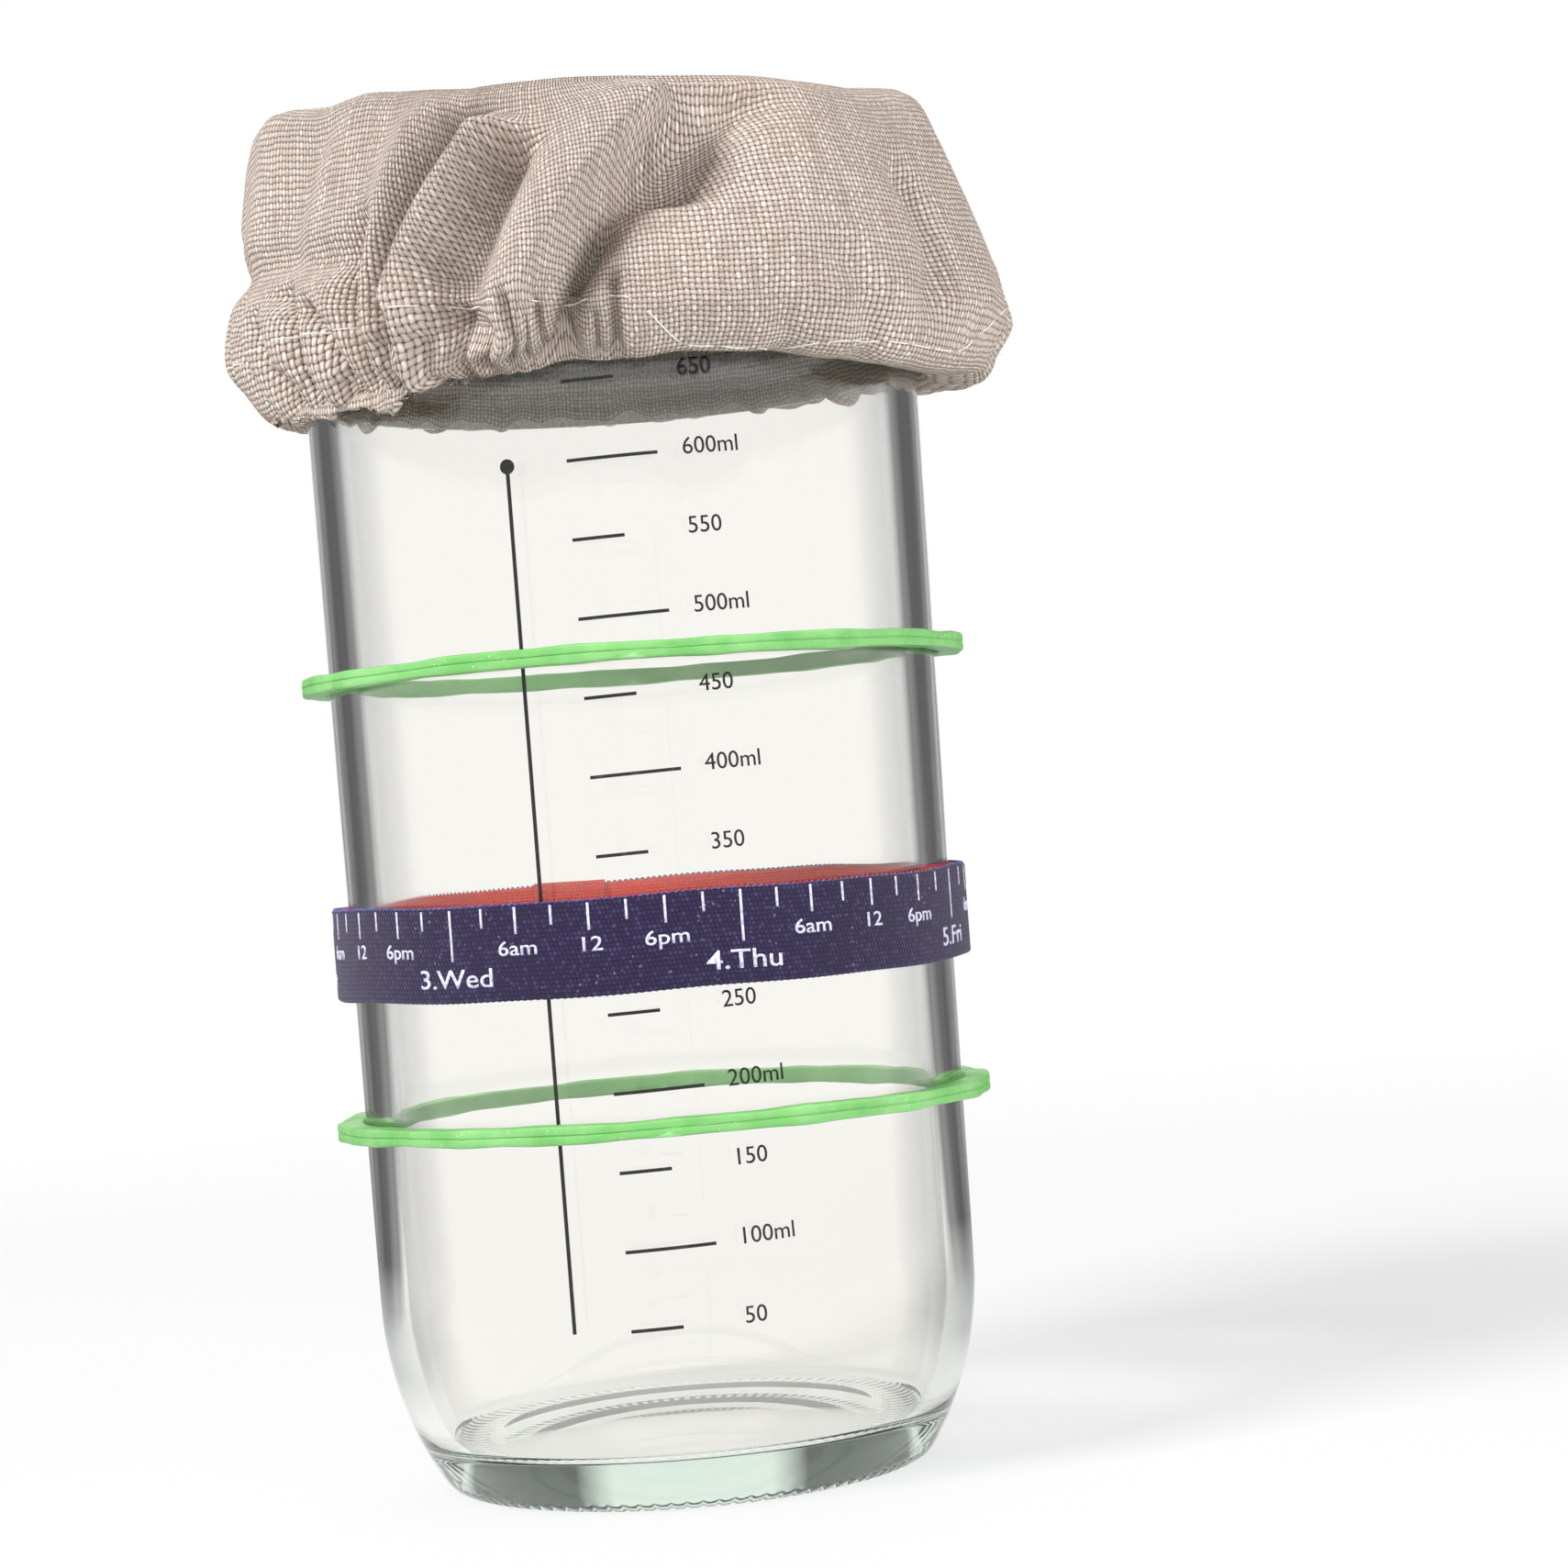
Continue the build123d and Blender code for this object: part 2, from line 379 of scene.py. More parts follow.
class Graph:
    """A node tree that is written as calls, each giving back its node or socket."""

    def __init__(self, tree: bpy.types.NodeTree) -> None:
        """Starts from an empty tree."""
        self.tree = tree
        tree.nodes.clear()

    def add(self, kind: str, inputs: dict[Any, Any] | None = None, **settings: Any) -> bpy.types.Node:
        """Adds a node.

        Args:
            kind: The node's type, without the usual prefix.
            inputs: A value or a socket for each input, by name or number.
            settings: The node's own options.

        Returns:
            The node.
        """
        prefix = "" if kind.startswith(("Node", "Shader")) else "ShaderNode"
        made = self.tree.nodes.new(prefix + kind)
        for name, value in settings.items():
            setattr(made, name, value)
        for key, value in (inputs or {}).items():
            if isinstance(value, Socket):
                self.tree.links.new(value, made.inputs[key])
            else:
                made.inputs[key].default_value = value
        return made

    def math(self, operation: str, *values: Any) -> Socket:
        """A sum, product or other operation on numbers."""
        return self.add("Math", dict(enumerate(values)), operation=operation).outputs[0]

    def vector(self, operation: str, *values: Any) -> Socket:
        """A sum, product or other operation on vectors."""
        return self.add("VectorMath", dict(enumerate(values)), operation=operation).outputs[0]

    def length(self, vector: Socket) -> Socket:
        """How long a vector is."""
        return self.add("VectorMath", {0: vector}, operation="LENGTH").outputs["Value"]

    def blend(self, factor: Any, first: Any, second: Any, mode: str = "MIX") -> Socket:
        """A mix of two colours."""
        made = self.add("Mix", {0: factor, 6: first, 7: second}, data_type="RGBA", blend_type=mode)
        return made.outputs[2]

    def between(self, value: Any, low: float, high: float, start: float = 0.0, end: float = 1.0) -> Any:
        """A number moved from one range to another, and kept in it."""
        inputs = {"Value": value, "From Min": low, "From Max": high, "To Min": start, "To Max": end}
        return self.add("MapRange", inputs).outputs[0]

    def noise(self, place: Any, scale: float, detail: float = 2.0) -> Socket:
        """Soft noise about one half."""
        inputs = {"Vector": place, "Scale": scale, "Detail": detail, "Roughness": 0.55}
        return self.add("TexNoise", inputs).outputs["Fac"]

    def stretched(self, place: Socket, scale: tuple[float, float, float]) -> Socket:
        """The coordinates with each axis scaled, for a pattern that is drawn out along one."""
        return self.add("Mapping", {"Vector": place, "Scale": scale}).outputs[0]

    def relief(self, height: Socket, strength: float, distance: float) -> Socket:
        """The normal of a surface with this relief, whose full height is in metres."""
        inputs = {"Height": height, "Strength": strength, "Distance": distance}
        return self.add("Bump", inputs).outputs[0]

    def passed_on(self) -> Socket:
        """1 for light that glass or gloss passes on, so that it sees the surroundings as the camera does."""
        path = self.add("LightPath").outputs
        return self.math("MAXIMUM", path["Is Glossy Ray"], path["Is Transmission Ray"])

    def put_out(self, made: bpy.types.Node, **outputs: Socket) -> None:
        """Links the outputs of a shared effect, by name."""
        for name, socket in outputs.items():
            self.tree.links.new(socket, made.inputs[name])

    def group(self, tree: bpy.types.NodeTree, **inputs: Any) -> bpy.types.Node:
        """Places a shared effect in this graph.

        Args:
            tree: The effect.
            inputs: A value or a socket for each of its inputs, by name in small letters.

        Returns:
            The node, with the effect's outputs.
        """
        made = self.add("Group", node_tree=tree)
        for name, value in inputs.items():
            socket = made.inputs[name.replace("_", " ").capitalize()]
            if isinstance(value, Socket):
                self.tree.links.new(value, socket)
            else:
                socket.default_value = value
        return made


def shared_effect(name: str, inputs: dict[str, str], outputs: Sequence[str]) -> tuple[Graph, Any, Any]:
    """Starts a node group that several materials use.

    Args:
        name: The group's name.
        inputs: Each input's kind of socket.
        outputs: The outputs, which are all numbers.

    Returns:
        The group's graph, its input node and its output node.
    """
    tree = bpy.data.node_groups.new(name, "ShaderNodeTree")
    for label, kind in inputs.items():
        tree.interface.new_socket(label, in_out="INPUT", socket_type="NodeSocket" + kind)
    for label in outputs:
        tree.interface.new_socket(label, in_out="OUTPUT", socket_type="NodeSocketFloat")
    graph = Graph(tree)
    return graph, graph.add("NodeGroupInput"), graph.add("NodeGroupOutput")


def plain_weave_effect() -> bpy.types.NodeTree:
    """Threads that pass over and under each other one by one.

    Returns:
        A group whose Place counts threads, with outputs Height, Gap, Shade and Warp, the last of which
        is 1 where the upright thread lies on top.
    """
    inputs = {"Place": "Vector", "Wander": "Float"}
    graph, given, made = shared_effect("plain weave", inputs, ("Height", "Gap", "Shade", "Warp"))
    drift_scale, drift_detail = 0.11, 3.0
    thread_side, thread_top = 0.12, 0.95
    gap_edge, gap_middle = 0.54, 0.26
    thread_apart, slub_length = 7.31, 0.09
    place = given.outputs["Place"]
    drift = graph.add("TexNoise", {"Vector": place, "Scale": drift_scale, "Detail": drift_detail})
    centred = graph.vector("SUBTRACT", drift.outputs["Color"], (0.5, 0.5, 0.5))
    wandered = {0: centred, "Scale": given.outputs["Wander"]}
    shift = graph.add("VectorMath", wandered, operation="SCALE").outputs[0]
    split = graph.add("SeparateXYZ", {0: graph.vector("ADD", place, shift)})
    across, along = split.outputs["X"], split.outputs["Y"]
    waves = [graph.math("SINE", graph.math("MULTIPLY", value, math.pi)) for value in (across, along)]
    signs = [graph.math("SIGN", wave) for wave in waves]
    tops = [graph.between(graph.math("ABSOLUTE", wave), thread_side, thread_top) for wave in waves]
    over = graph.math("MULTIPLY", signs[0], waves[1])
    under = graph.math("MULTIPLY", signs[1], waves[0])
    warp_lift = graph.math("MULTIPLY_ADD", over, 0.5, 0.5)
    weft_lift = graph.math("MULTIPLY_ADD", under, -0.5, 0.5)
    warp = graph.math("MULTIPLY", graph.math("SQRT", tops[0]), warp_lift)
    weft = graph.math("MULTIPLY", graph.math("SQRT", tops[1]), weft_lift)
    height = graph.math("MAXIMUM", warp, weft)
    yarns = []
    for value, other in ((across, along), (along, across)):
        apart = graph.math("MULTIPLY", graph.math("FLOOR", value), thread_apart)
        slub = graph.math("MULTIPLY", other, slub_length)
        spot = graph.add("CombineXYZ", {0: apart, 1: slub})
        yarns.append(graph.noise(spot.outputs[0], 1.0))
    on_top = graph.math("GREATER_THAN", warp, weft)
    shade = graph.add("Mix", {0: on_top, 2: yarns[1], 3: yarns[0]}).outputs[0]
    gap = graph.between(height, gap_edge, gap_middle)
    graph.put_out(made, Height=height, Gap=gap, Shade=shade, Warp=on_top)
    return graph.tree


def twill_effect() -> bpy.types.NodeTree:
    """Fine diagonal ribs of a woven tape.

    Returns:
        A group whose Place is in millimetres, with outputs Height and Spark.
    """
    graph, given, made = shared_effect("twill", {"Place": "Vector", "Pitch": "Float"}, ("Height", "Spark"))
    row_step = 0.3333
    row_roundness = 0.4
    spark_start = 0.55
    split = graph.add("SeparateXYZ", {0: given.outputs["Place"]})
    across = graph.math("DIVIDE", split.outputs["X"], given.outputs["Pitch"])
    along = graph.math("DIVIDE", split.outputs["Y"], given.outputs["Pitch"])
    row = graph.math("FLOOR", along)
    shifted = graph.math("ADD", across, graph.math("MULTIPLY", row, row_step))
    rib = graph.math("ABSOLUTE", graph.math("SINE", graph.math("MULTIPLY", shifted, math.pi)))
    fill = graph.math("ABSOLUTE", graph.math("SINE", graph.math("MULTIPLY", along, math.pi)))
    height = graph.math("MULTIPLY", graph.math("SQRT", rib), graph.math("POWER", fill, row_roundness))
    cell = graph.add("CombineXYZ", {0: graph.math("FLOOR", shifted), 1: row})
    lone = graph.add("TexWhiteNoise", {"Vector": cell.outputs[0]}, noise_dimensions="2D")
    spark = graph.between(lone.outputs["Value"], spark_start, 1.0)
    graph.put_out(made, Height=height, Spark=spark)
    return graph.tree


def dust_effect() -> bpy.types.NodeTree:
    """Pale lint and dust that gathers in specks.

    Returns:
        A group whose Place is in metres, with output Mask.
    """
    graph, given, made = shared_effect("dust", {"Place": "Vector", "Speck": "Float"}, ("Mask",))
    speck_edge, speck_middle = 0.16, 0.08
    patch_scale, patch_edge, patch_full = 90.0, 0.5, 0.62
    place = given.outputs["Place"]
    cells = {"Vector": place, "Scale": given.outputs["Speck"], "Randomness": 1.0}
    near = graph.add("TexVoronoi", cells).outputs["Distance"]
    speck = graph.between(near, speck_edge, speck_middle)
    patch = graph.between(graph.noise(place, patch_scale, 3.0), patch_edge, patch_full)
    graph.put_out(made, Mask=graph.math("MULTIPLY", speck, patch))
    return graph.tree


@dataclass(frozen=True)
class Effects:
    """The shared node groups."""

    weave: bpy.types.NodeTree
    twill: bpy.types.NodeTree
    dust: bpy.types.NodeTree


def new_material(name: str) -> tuple[Material, Graph]:
    """Starts a material.

    Args:
        name: The material's name.

    Returns:
        The material and its empty graph.
    """
    material = bpy.data.materials.new(name)
    material.use_nodes = True
    return material, Graph(material.node_tree)


def close_surface(graph: Graph, surface: Socket, volume: Socket | None = None) -> None:
    """Ends a material's graph with its output.

    Args:
        graph: The material's graph.
        surface: What the surface shows.
        volume: What fills the piece, for glass.
    """
    inputs = {"Surface": surface}
    if volume is not None:
        inputs["Volume"] = volume
    graph.add("OutputMaterial", inputs)


def close_solid(graph: Graph, inputs: dict[str, Any]) -> None:
    """Ends the graph of an opaque material with a surface that has these values."""
    close_surface(graph, graph.add("BsdfPrincipled", inputs).outputs[0])


def object_place(graph: Graph) -> Socket:
    """The object's own coordinates, in metres, centred on the jar's axis."""
    coordinates = graph.add("TexCoord").outputs["Object"]
    return graph.add("Mapping", {"Vector": coordinates}).outputs[0]


@dataclass(frozen=True)
class Dust:
    """Lint and dust on a finish: how small its specks are, how much they cover, and their colour."""

    speck: float
    share: float
    colour: Colour

    def over(self, graph: Graph, effects: Effects, place: Socket, body: Socket) -> Socket:
        """Lays the dust over the body's clean colour."""
        lint = graph.group(effects.dust, place=place, speck=self.speck).outputs["Mask"]
        return graph.blend(graph.math("MULTIPLY", lint, self.share), body, tint(*self.colour))


@dataclass(frozen=True)
class PaintedShadingBand:
    """A band of painted light and shade on the glass, set by the slant of its surface to the view on.

    Its numbers are the slant from 0 to 1, how softly the tint sets in, how much sooner it does so at the
    heel, how ragged its edge is, and its colour.
    """

    start: float
    soft: float
    sooner: float
    ragged: float
    colour: Colour


@dataclass(frozen=True)
class GlassFinish:
    """Clear soda glass with a green cast where it is thick, and painted light and shade on its edges and
    heel.
    """

    index: float = 1.5
    cast: Colour = (196, 232, 212)
    density: float = 9.0
    clear: Colour = (253, 251, 249)
    shadow: Colour = (250, 251, 250)
    ripple: float = 0.00012
    ripple_scale: float = 55.0
    ripple_strength: float = 0.35
    ripple_stretch: float = 0.35
    # Painted bands of light and shade, from the middle of the wall out to its edges
    painted_shading_bands: tuple[PaintedShadingBand, ...] = (
        PaintedShadingBand(0.505, 0.015, 0.20, 0.020, (251, 251, 250)),
        PaintedShadingBand(0.590, 0.015, 0.14, 0.004, (206, 206, 204)),
        PaintedShadingBand(0.735, 0.040, 0.10, 0.000, (226, 227, 226)),
        PaintedShadingBand(0.815, 0.020, 0.06, 0.000, (242, 244, 243)),
        PaintedShadingBand(0.915, 0.030, 0.02, 0.000, (226, 230, 228)),
    )
    # Fine painted lines of light and shade just inside the glass's edges
    line_scale: float = 1400.0
    line_stretch: float = 0.02
    line_sway: float = 0.018
    line_shade: tuple[float, float] = (0.75, 1.35)
    line_slant: tuple[float, float] = (0.5, 0.54)
    ragged_scale: float = 500.0
    # Painted shade on the heel where it is seen slanted
    heel_shade: Colour = (92, 102, 105)
    heel_slant: tuple[float, float] = (0.42, 0.86)
    heel_share: float = 0.9
    heel_low: tuple[float, float] = (0.012, 0.018)
    heel_top: float = 0.029
    heel_fade: float = 0.004
    wall_top: float = 0.150
    outer_radius: float = 0.0408
    outer_fade: float = 0.0003

    def painted_edge_shading(self, graph: Graph, place: Socket) -> Socket:
        """Painted light and shade where the wall is seen edge on, drawing in lower down, and on the heel.

        Args:
            graph: The material's graph.
            place: The object's coordinates.

        Returns:
            The glass's colour, with its painted light and shade.
        """
        facing = graph.add("LayerWeight", {"Blend": 0.5}).outputs["Facing"]
        height = graph.add("SeparateXYZ", {0: place}).outputs["Z"]
        radius = graph.length(graph.vector("MULTIPLY", place, LEVEL))
        drawn = graph.stretched(place, (1.0, 1.0, self.line_stretch))
        line = graph.between(graph.noise(drawn, self.line_scale, 3.0), 0.25, 0.75, -1.0, 1.0)
        ragged = graph.between(graph.noise(place, self.ragged_scale, 5.0), 0.3, 0.7, -1.0, 1.0)
        narrowing = graph.between(height, self.heel_top, self.wall_top, 1.0, 0.0)
        clear = tint(*self.clear)
        body = clear
        # Bands of painted light and shade where the wall is seen edge on
        for band in self.painted_shading_bands:
            moved = graph.math("SUBTRACT", facing, graph.math("MULTIPLY", narrowing, band.sooner))
            moved = graph.math("ADD", moved, graph.math("MULTIPLY", ragged, band.ragged))
            moved = graph.math("ADD", moved, graph.math("MULTIPLY", line, self.line_sway))
            share = graph.between(moved, band.start, band.start + band.soft)
            body = graph.blend(share, body, tint(*band.colour))
        # Fine painted lines of light and shade just inside the edges
        fine = graph.between(line, -1.0, 1.0, *self.line_shade)
        lined = graph.blend(1.0, body, fine, "MULTIPLY")
        body = graph.blend(graph.between(facing, *self.line_slant), body, lined)
        outside = graph.between(radius, self.outer_radius, self.outer_radius + self.outer_fade)
        above = graph.between(height, self.heel_top - self.heel_fade, self.heel_top + self.heel_fade)
        # Painted shade on the heel where it is seen slanted
        slanted = graph.between(facing, *self.heel_slant, 0.0, self.heel_share)
        shaded = graph.blend(slanted, clear, tint(*self.heel_shade))
        lower = graph.blend(graph.between(height, *self.heel_low), clear, shaded)
        return graph.blend(graph.math("MULTIPLY", outside, above), lower, body)

    def make(self) -> Material:
        """Makes the material.

        Returns:
            Glass that is clear to light that passes on to make shadows.
        """
        material, graph = new_material("clear glass")
        place = object_place(graph)
        slow = graph.noise(graph.stretched(place, (1.0, 1.0, self.ripple_stretch)), self.ripple_scale, 1.0)
        shell = graph.add(
            "BsdfPrincipled",
            {
                "Base Color": self.painted_edge_shading(graph, place),
                "Roughness": 0.0,
                "IOR": self.index,
                "Transmission Weight": 1.0,
                "Normal": graph.relief(slow, self.ripple_strength, self.ripple),
            },
        )
        clear = graph.add("BsdfTransparent", {"Color": tint(*self.shadow)})
        shadow = graph.add("LightPath").outputs["Is Shadow Ray"]
        mixed = graph.add("MixShader", {0: shadow, 1: shell.outputs[0], 2: clear.outputs[0]})
        inner = graph.add("VolumeAbsorption", {"Color": tint(*self.cast), "Density": self.density})
        close_surface(graph, mixed.outputs[0], inner.outputs[0])
        return material


@dataclass(frozen=True)
class InkFinish:
    """Black screen-printed ink, thin in places."""

    colour: Colour = (22, 21, 21)
    worn: Colour = (60, 58, 56)
    wear_scale: float = 900.0
    gloss_scale: float = 2500.0
    roughness: tuple[float, float] = (0.35, 0.6)
    grain_scale: float = 4000.0
    grain_relief: float = 0.00003

    def make(self) -> Material:
        """Makes the material.

        Returns:
            Ink that is paler and rougher in spots.
        """
        material, graph = new_material("printed ink")
        place = object_place(graph)
        thin = graph.between(graph.noise(place, self.wear_scale, 4.0), 0.58, 0.75)
        colour = graph.blend(thin, tint(*self.colour), tint(*self.worn))
        rough = graph.between(graph.noise(place, self.gloss_scale), 0.3, 0.7, *self.roughness)
        normal = graph.relief(graph.noise(place, self.grain_scale), 0.3, self.grain_relief)
        close_solid(graph, {"Base Color": colour, "Roughness": rough, "Normal": normal})
        return material


@dataclass(frozen=True)
class LinenFinish:
    """Natural linen in a coarse plain weave, with slubs and loose lint."""

    light: Colour = (240, 228, 218)
    dark: Colour = (180, 163, 151)
    # Painted shade seen in the gaps between the threads
    painted_gap_shade: Colour = (66, 52, 42)
    blush: Colour = (200, 164, 148)
    lint: Dust = Dust(700.0, 0.5, (238, 234, 232))
    wander: float = 1.5
    # How much painted shade darkens the sides of the threads
    painted_side_shade: float = 0.55
    weft_share: float = 0.45
    # How much painted shade fills the gaps between the threads
    painted_gap_share: float = 0.9
    blush_scale: float = 60.0
    blush_share: float = 0.6
    fuzz_scale: float = 2.3
    fuzz_share: float = 0.25
    relief: float = 0.00055
    roughness: float = 0.92
    sheen: float = 0.25
    sheen_roughness: float = 0.6
    gloss: float = 0.2

    def make(self, effects: Effects) -> Material:
        """Makes the material, whose UV map counts threads.

        Args:
            effects: The shared effects.

        Returns:
            Linen with painted shade on the sides of its threads and in the gaps between them.
        """
        material, graph = new_material("natural linen")
        place = graph.add("UVMap", uv_map="threads").outputs[0]
        woven = graph.group(effects.weave, place=place, wander=self.wander)
        yarn = graph.between(woven.outputs["Shade"], 0.3, 0.7)
        body = graph.blend(yarn, tint(*self.dark), tint(*self.light))
        # Painted shade on the rounded sides of the threads
        side = graph.between(woven.outputs["Height"], 0.35, 0.9, self.painted_side_shade, 0.0)
        body = graph.blend(side, body, tint(*self.dark))
        weft = graph.between(woven.outputs["Warp"], 1.0, 0.0, 0.0, self.weft_share)
        body = graph.blend(weft, body, tint(*self.dark))
        # Painted shade in the gaps between the threads
        gap = graph.math("MULTIPLY", woven.outputs["Gap"], self.painted_gap_share)
        body = graph.blend(gap, body, tint(*self.painted_gap_shade))
        own = object_place(graph)
        patch = graph.between(graph.noise(own, self.blush_scale, 3.0), 0.52, 0.75, 0.0, 0.3)
        body = graph.blend(graph.math("MULTIPLY", patch, self.blush_share), body, tint(*self.blush))
        body = self.lint.over(graph, effects, own, body)
        fuzz = graph.noise(place, self.fuzz_scale, 4.0)
        height = graph.math("MULTIPLY_ADD", fuzz, self.fuzz_share, woven.outputs["Height"])
        close_solid(
            graph,
            {
                "Base Color": body,
                "Roughness": self.roughness,
                "Sheen Weight": self.sheen,
                "Sheen Roughness": self.sheen_roughness,
                "Sheen Tint": tint(*self.light),
                "Specular IOR Level": self.gloss,
                "Normal": graph.relief(height, 1.0, self.relief),
            },
        )
        return material


@dataclass(frozen=True)
class YarnFinish:
    """Spun thread or elastic, with a fine twist."""

    name: str
    colour: Colour
    shade: Colour
    twist: float = 2200.0
    lean: tuple[float, float, float] = (0.6, 0.4, 0.8)
    stretch: tuple[float, float, float] = (1.0, 0.3, 1.0)
    relief: float = 0.00008
    roughness: float = 0.75
    sheen: float = 0.3

    def make(self) -> Material:
        """Makes the material.

        Returns:
            Yarn with finer strands slanting across it.
        """
        material, graph = new_material(self.name)
        slanted = {"Vector": object_place(graph), "Rotation": self.lean, "Scale": self.stretch}
        strand = graph.noise(graph.add("Mapping", slanted).outputs[0], self.twist, 3.0)
        colour = graph.blend(graph.between(strand, 0.35, 0.65), tint(*self.shade), tint(*self.colour))
        close_solid(
            graph,
            {
                "Base Color": colour,
                "Roughness": self.roughness,
                "Sheen Weight": self.sheen,
                "Normal": graph.relief(strand, 0.6, self.relief),
            },
        )
        return material


@dataclass(frozen=True)
class TapeFinish:
    """Woven tape: diagonal ribs with brighter threads among them."""

    name: str
    # deep is the painted shade between the ribs, and mid the ribs' tops under painted light
    deep: Colour
    mid: Colour
    spark: Colour
    pitch: float
    spark_share: float = 0.3
    lint: Dust = Dust(900.0, 0.35, (190, 190, 205))
    relief: float = 0.00010
    roughness: float = 0.7
    sheen: float = 0.15
    gloss: float = 0.35

    def make(self, effects: Effects) -> Material:
        """Makes the material, whose UV map is in millimetres.

        Args:
            effects: The shared effects.

        Returns:
            Tape with painted light on its ribs' tops and painted shade between them.
        """
        material, graph = new_material(self.name)
        place = graph.add("UVMap", uv_map="wrap").outputs[0]
        woven = graph.group(effects.twill, place=place, pitch=self.pitch)
        # Painted light on the ribs' tops and painted shade between them
        painted_rib_light = graph.between(woven.outputs["Height"], 0.25, 0.95)
        body = graph.blend(painted_rib_light, tint(*self.deep), tint(*self.mid))
        lively = graph.math("MULTIPLY", woven.outputs["Spark"], painted_rib_light)
        lively = graph.math("MULTIPLY", lively, self.spark_share)
        body = graph.blend(lively, body, tint(*self.spark))
        close_solid(
            graph,
            {
                "Base Color": self.lint.over(graph, effects, object_place(graph), body),
                "Roughness": self.roughness,
                "Sheen Weight": self.sheen,
                "Specular IOR Level": self.gloss,
                "Normal": graph.relief(woven.outputs["Height"], 0.9, self.relief),
            },
        )
        return material


@dataclass(frozen=True)
class RubberFinish:
    """Soft green rubber with a satin skin, paler on its edges and dusty."""

    colour: Colour = (130, 190, 116)
    shade: Colour = (104, 172, 92)
    edge: Colour = (152, 206, 138)
    lint: Dust = Dust(1100.0, 0.6, (222, 236, 214))
    cloud_scale: float = 160.0
    roughness: tuple[float, float] = (0.5, 0.38)
    grain_scale: float = 1500.0
    grain_relief: float = 0.00008
    depth: float = 0.15
    depth_radius: tuple[float, float, float] = (0.0012, 0.002, 0.0009)

    def make(self, effects: Effects) -> Material:
        """Makes the material.

        Args:
            effects: The shared effects.

        Returns:
            Rubber that lets a little light in.
        """
        material, graph = new_material("green rubber")
        place = object_place(graph)
        cloud = graph.between(graph.noise(place, self.cloud_scale, 3.0), 0.35, 0.65)
        body = graph.blend(cloud, tint(*self.shade), tint(*self.colour))
        sharp = graph.between(graph.add("NewGeometry").outputs["Pointiness"], 0.53, 0.6)
        body = graph.blend(sharp, body, tint(*self.edge))
        grain = graph.noise(place, self.grain_scale, 4.0)
        close_solid(
            graph,
            {
                "Base Color": self.lint.over(graph, effects, place, body),
                "Roughness": graph.between(cloud, 0.0, 1.0, *self.roughness),
                "Subsurface Weight": self.depth,
                "Subsurface Radius": self.depth_radius,
                "Normal": graph.relief(grain, 0.4, self.grain_relief),
            },
        )
        return material


@dataclass(frozen=True)
class Finishes:
    """Every material of the jar."""

    glass: Material
    ink: Material
    linen: Material
    elastic: Material
    thread: Material
    fibre: Material
    navy: Material
    loop: Material
    red: Material
    red_thread: Material
    label: Material
    rubber: Material


def make_finishes() -> Finishes:
    """Makes the shared effects and the materials that use them.

    Returns:
        The materials.
    """
    effects = Effects(plain_weave_effect(), twill_effect(), dust_effect())
    return Finishes(
        glass=GlassFinish().make(),
        ink=InkFinish().make(),
        linen=LinenFinish().make(effects),
        elastic=YarnFinish("white elastic", (228, 226, 222), (190, 188, 184)).make(),
        thread=YarnFinish("white thread", (244, 242, 238), (212, 208, 204)).make(),
        fibre=YarnFinish("linen fibre", (236, 226, 216), (206, 192, 180)).make(),
        navy=TapeFinish("navy tape", (14, 9, 28), (42, 29, 70), (88, 82, 134), 0.62).make(effects),
        loop=YarnFinish("blue edge yarn", (92, 106, 168), (52, 56, 116)).make(),
        red=TapeFinish("red tape", (206, 40, 24), (250, 78, 54), (255, 132, 104), 0.5).make(effects),
        red_thread=YarnFinish("red thread", (226, 84, 70), (184, 44, 36)).make(),
        label=YarnFinish("label yarn", (226, 224, 236), (168, 166, 196)).make(),
        rubber=RubberFinish().make(effects),
    )


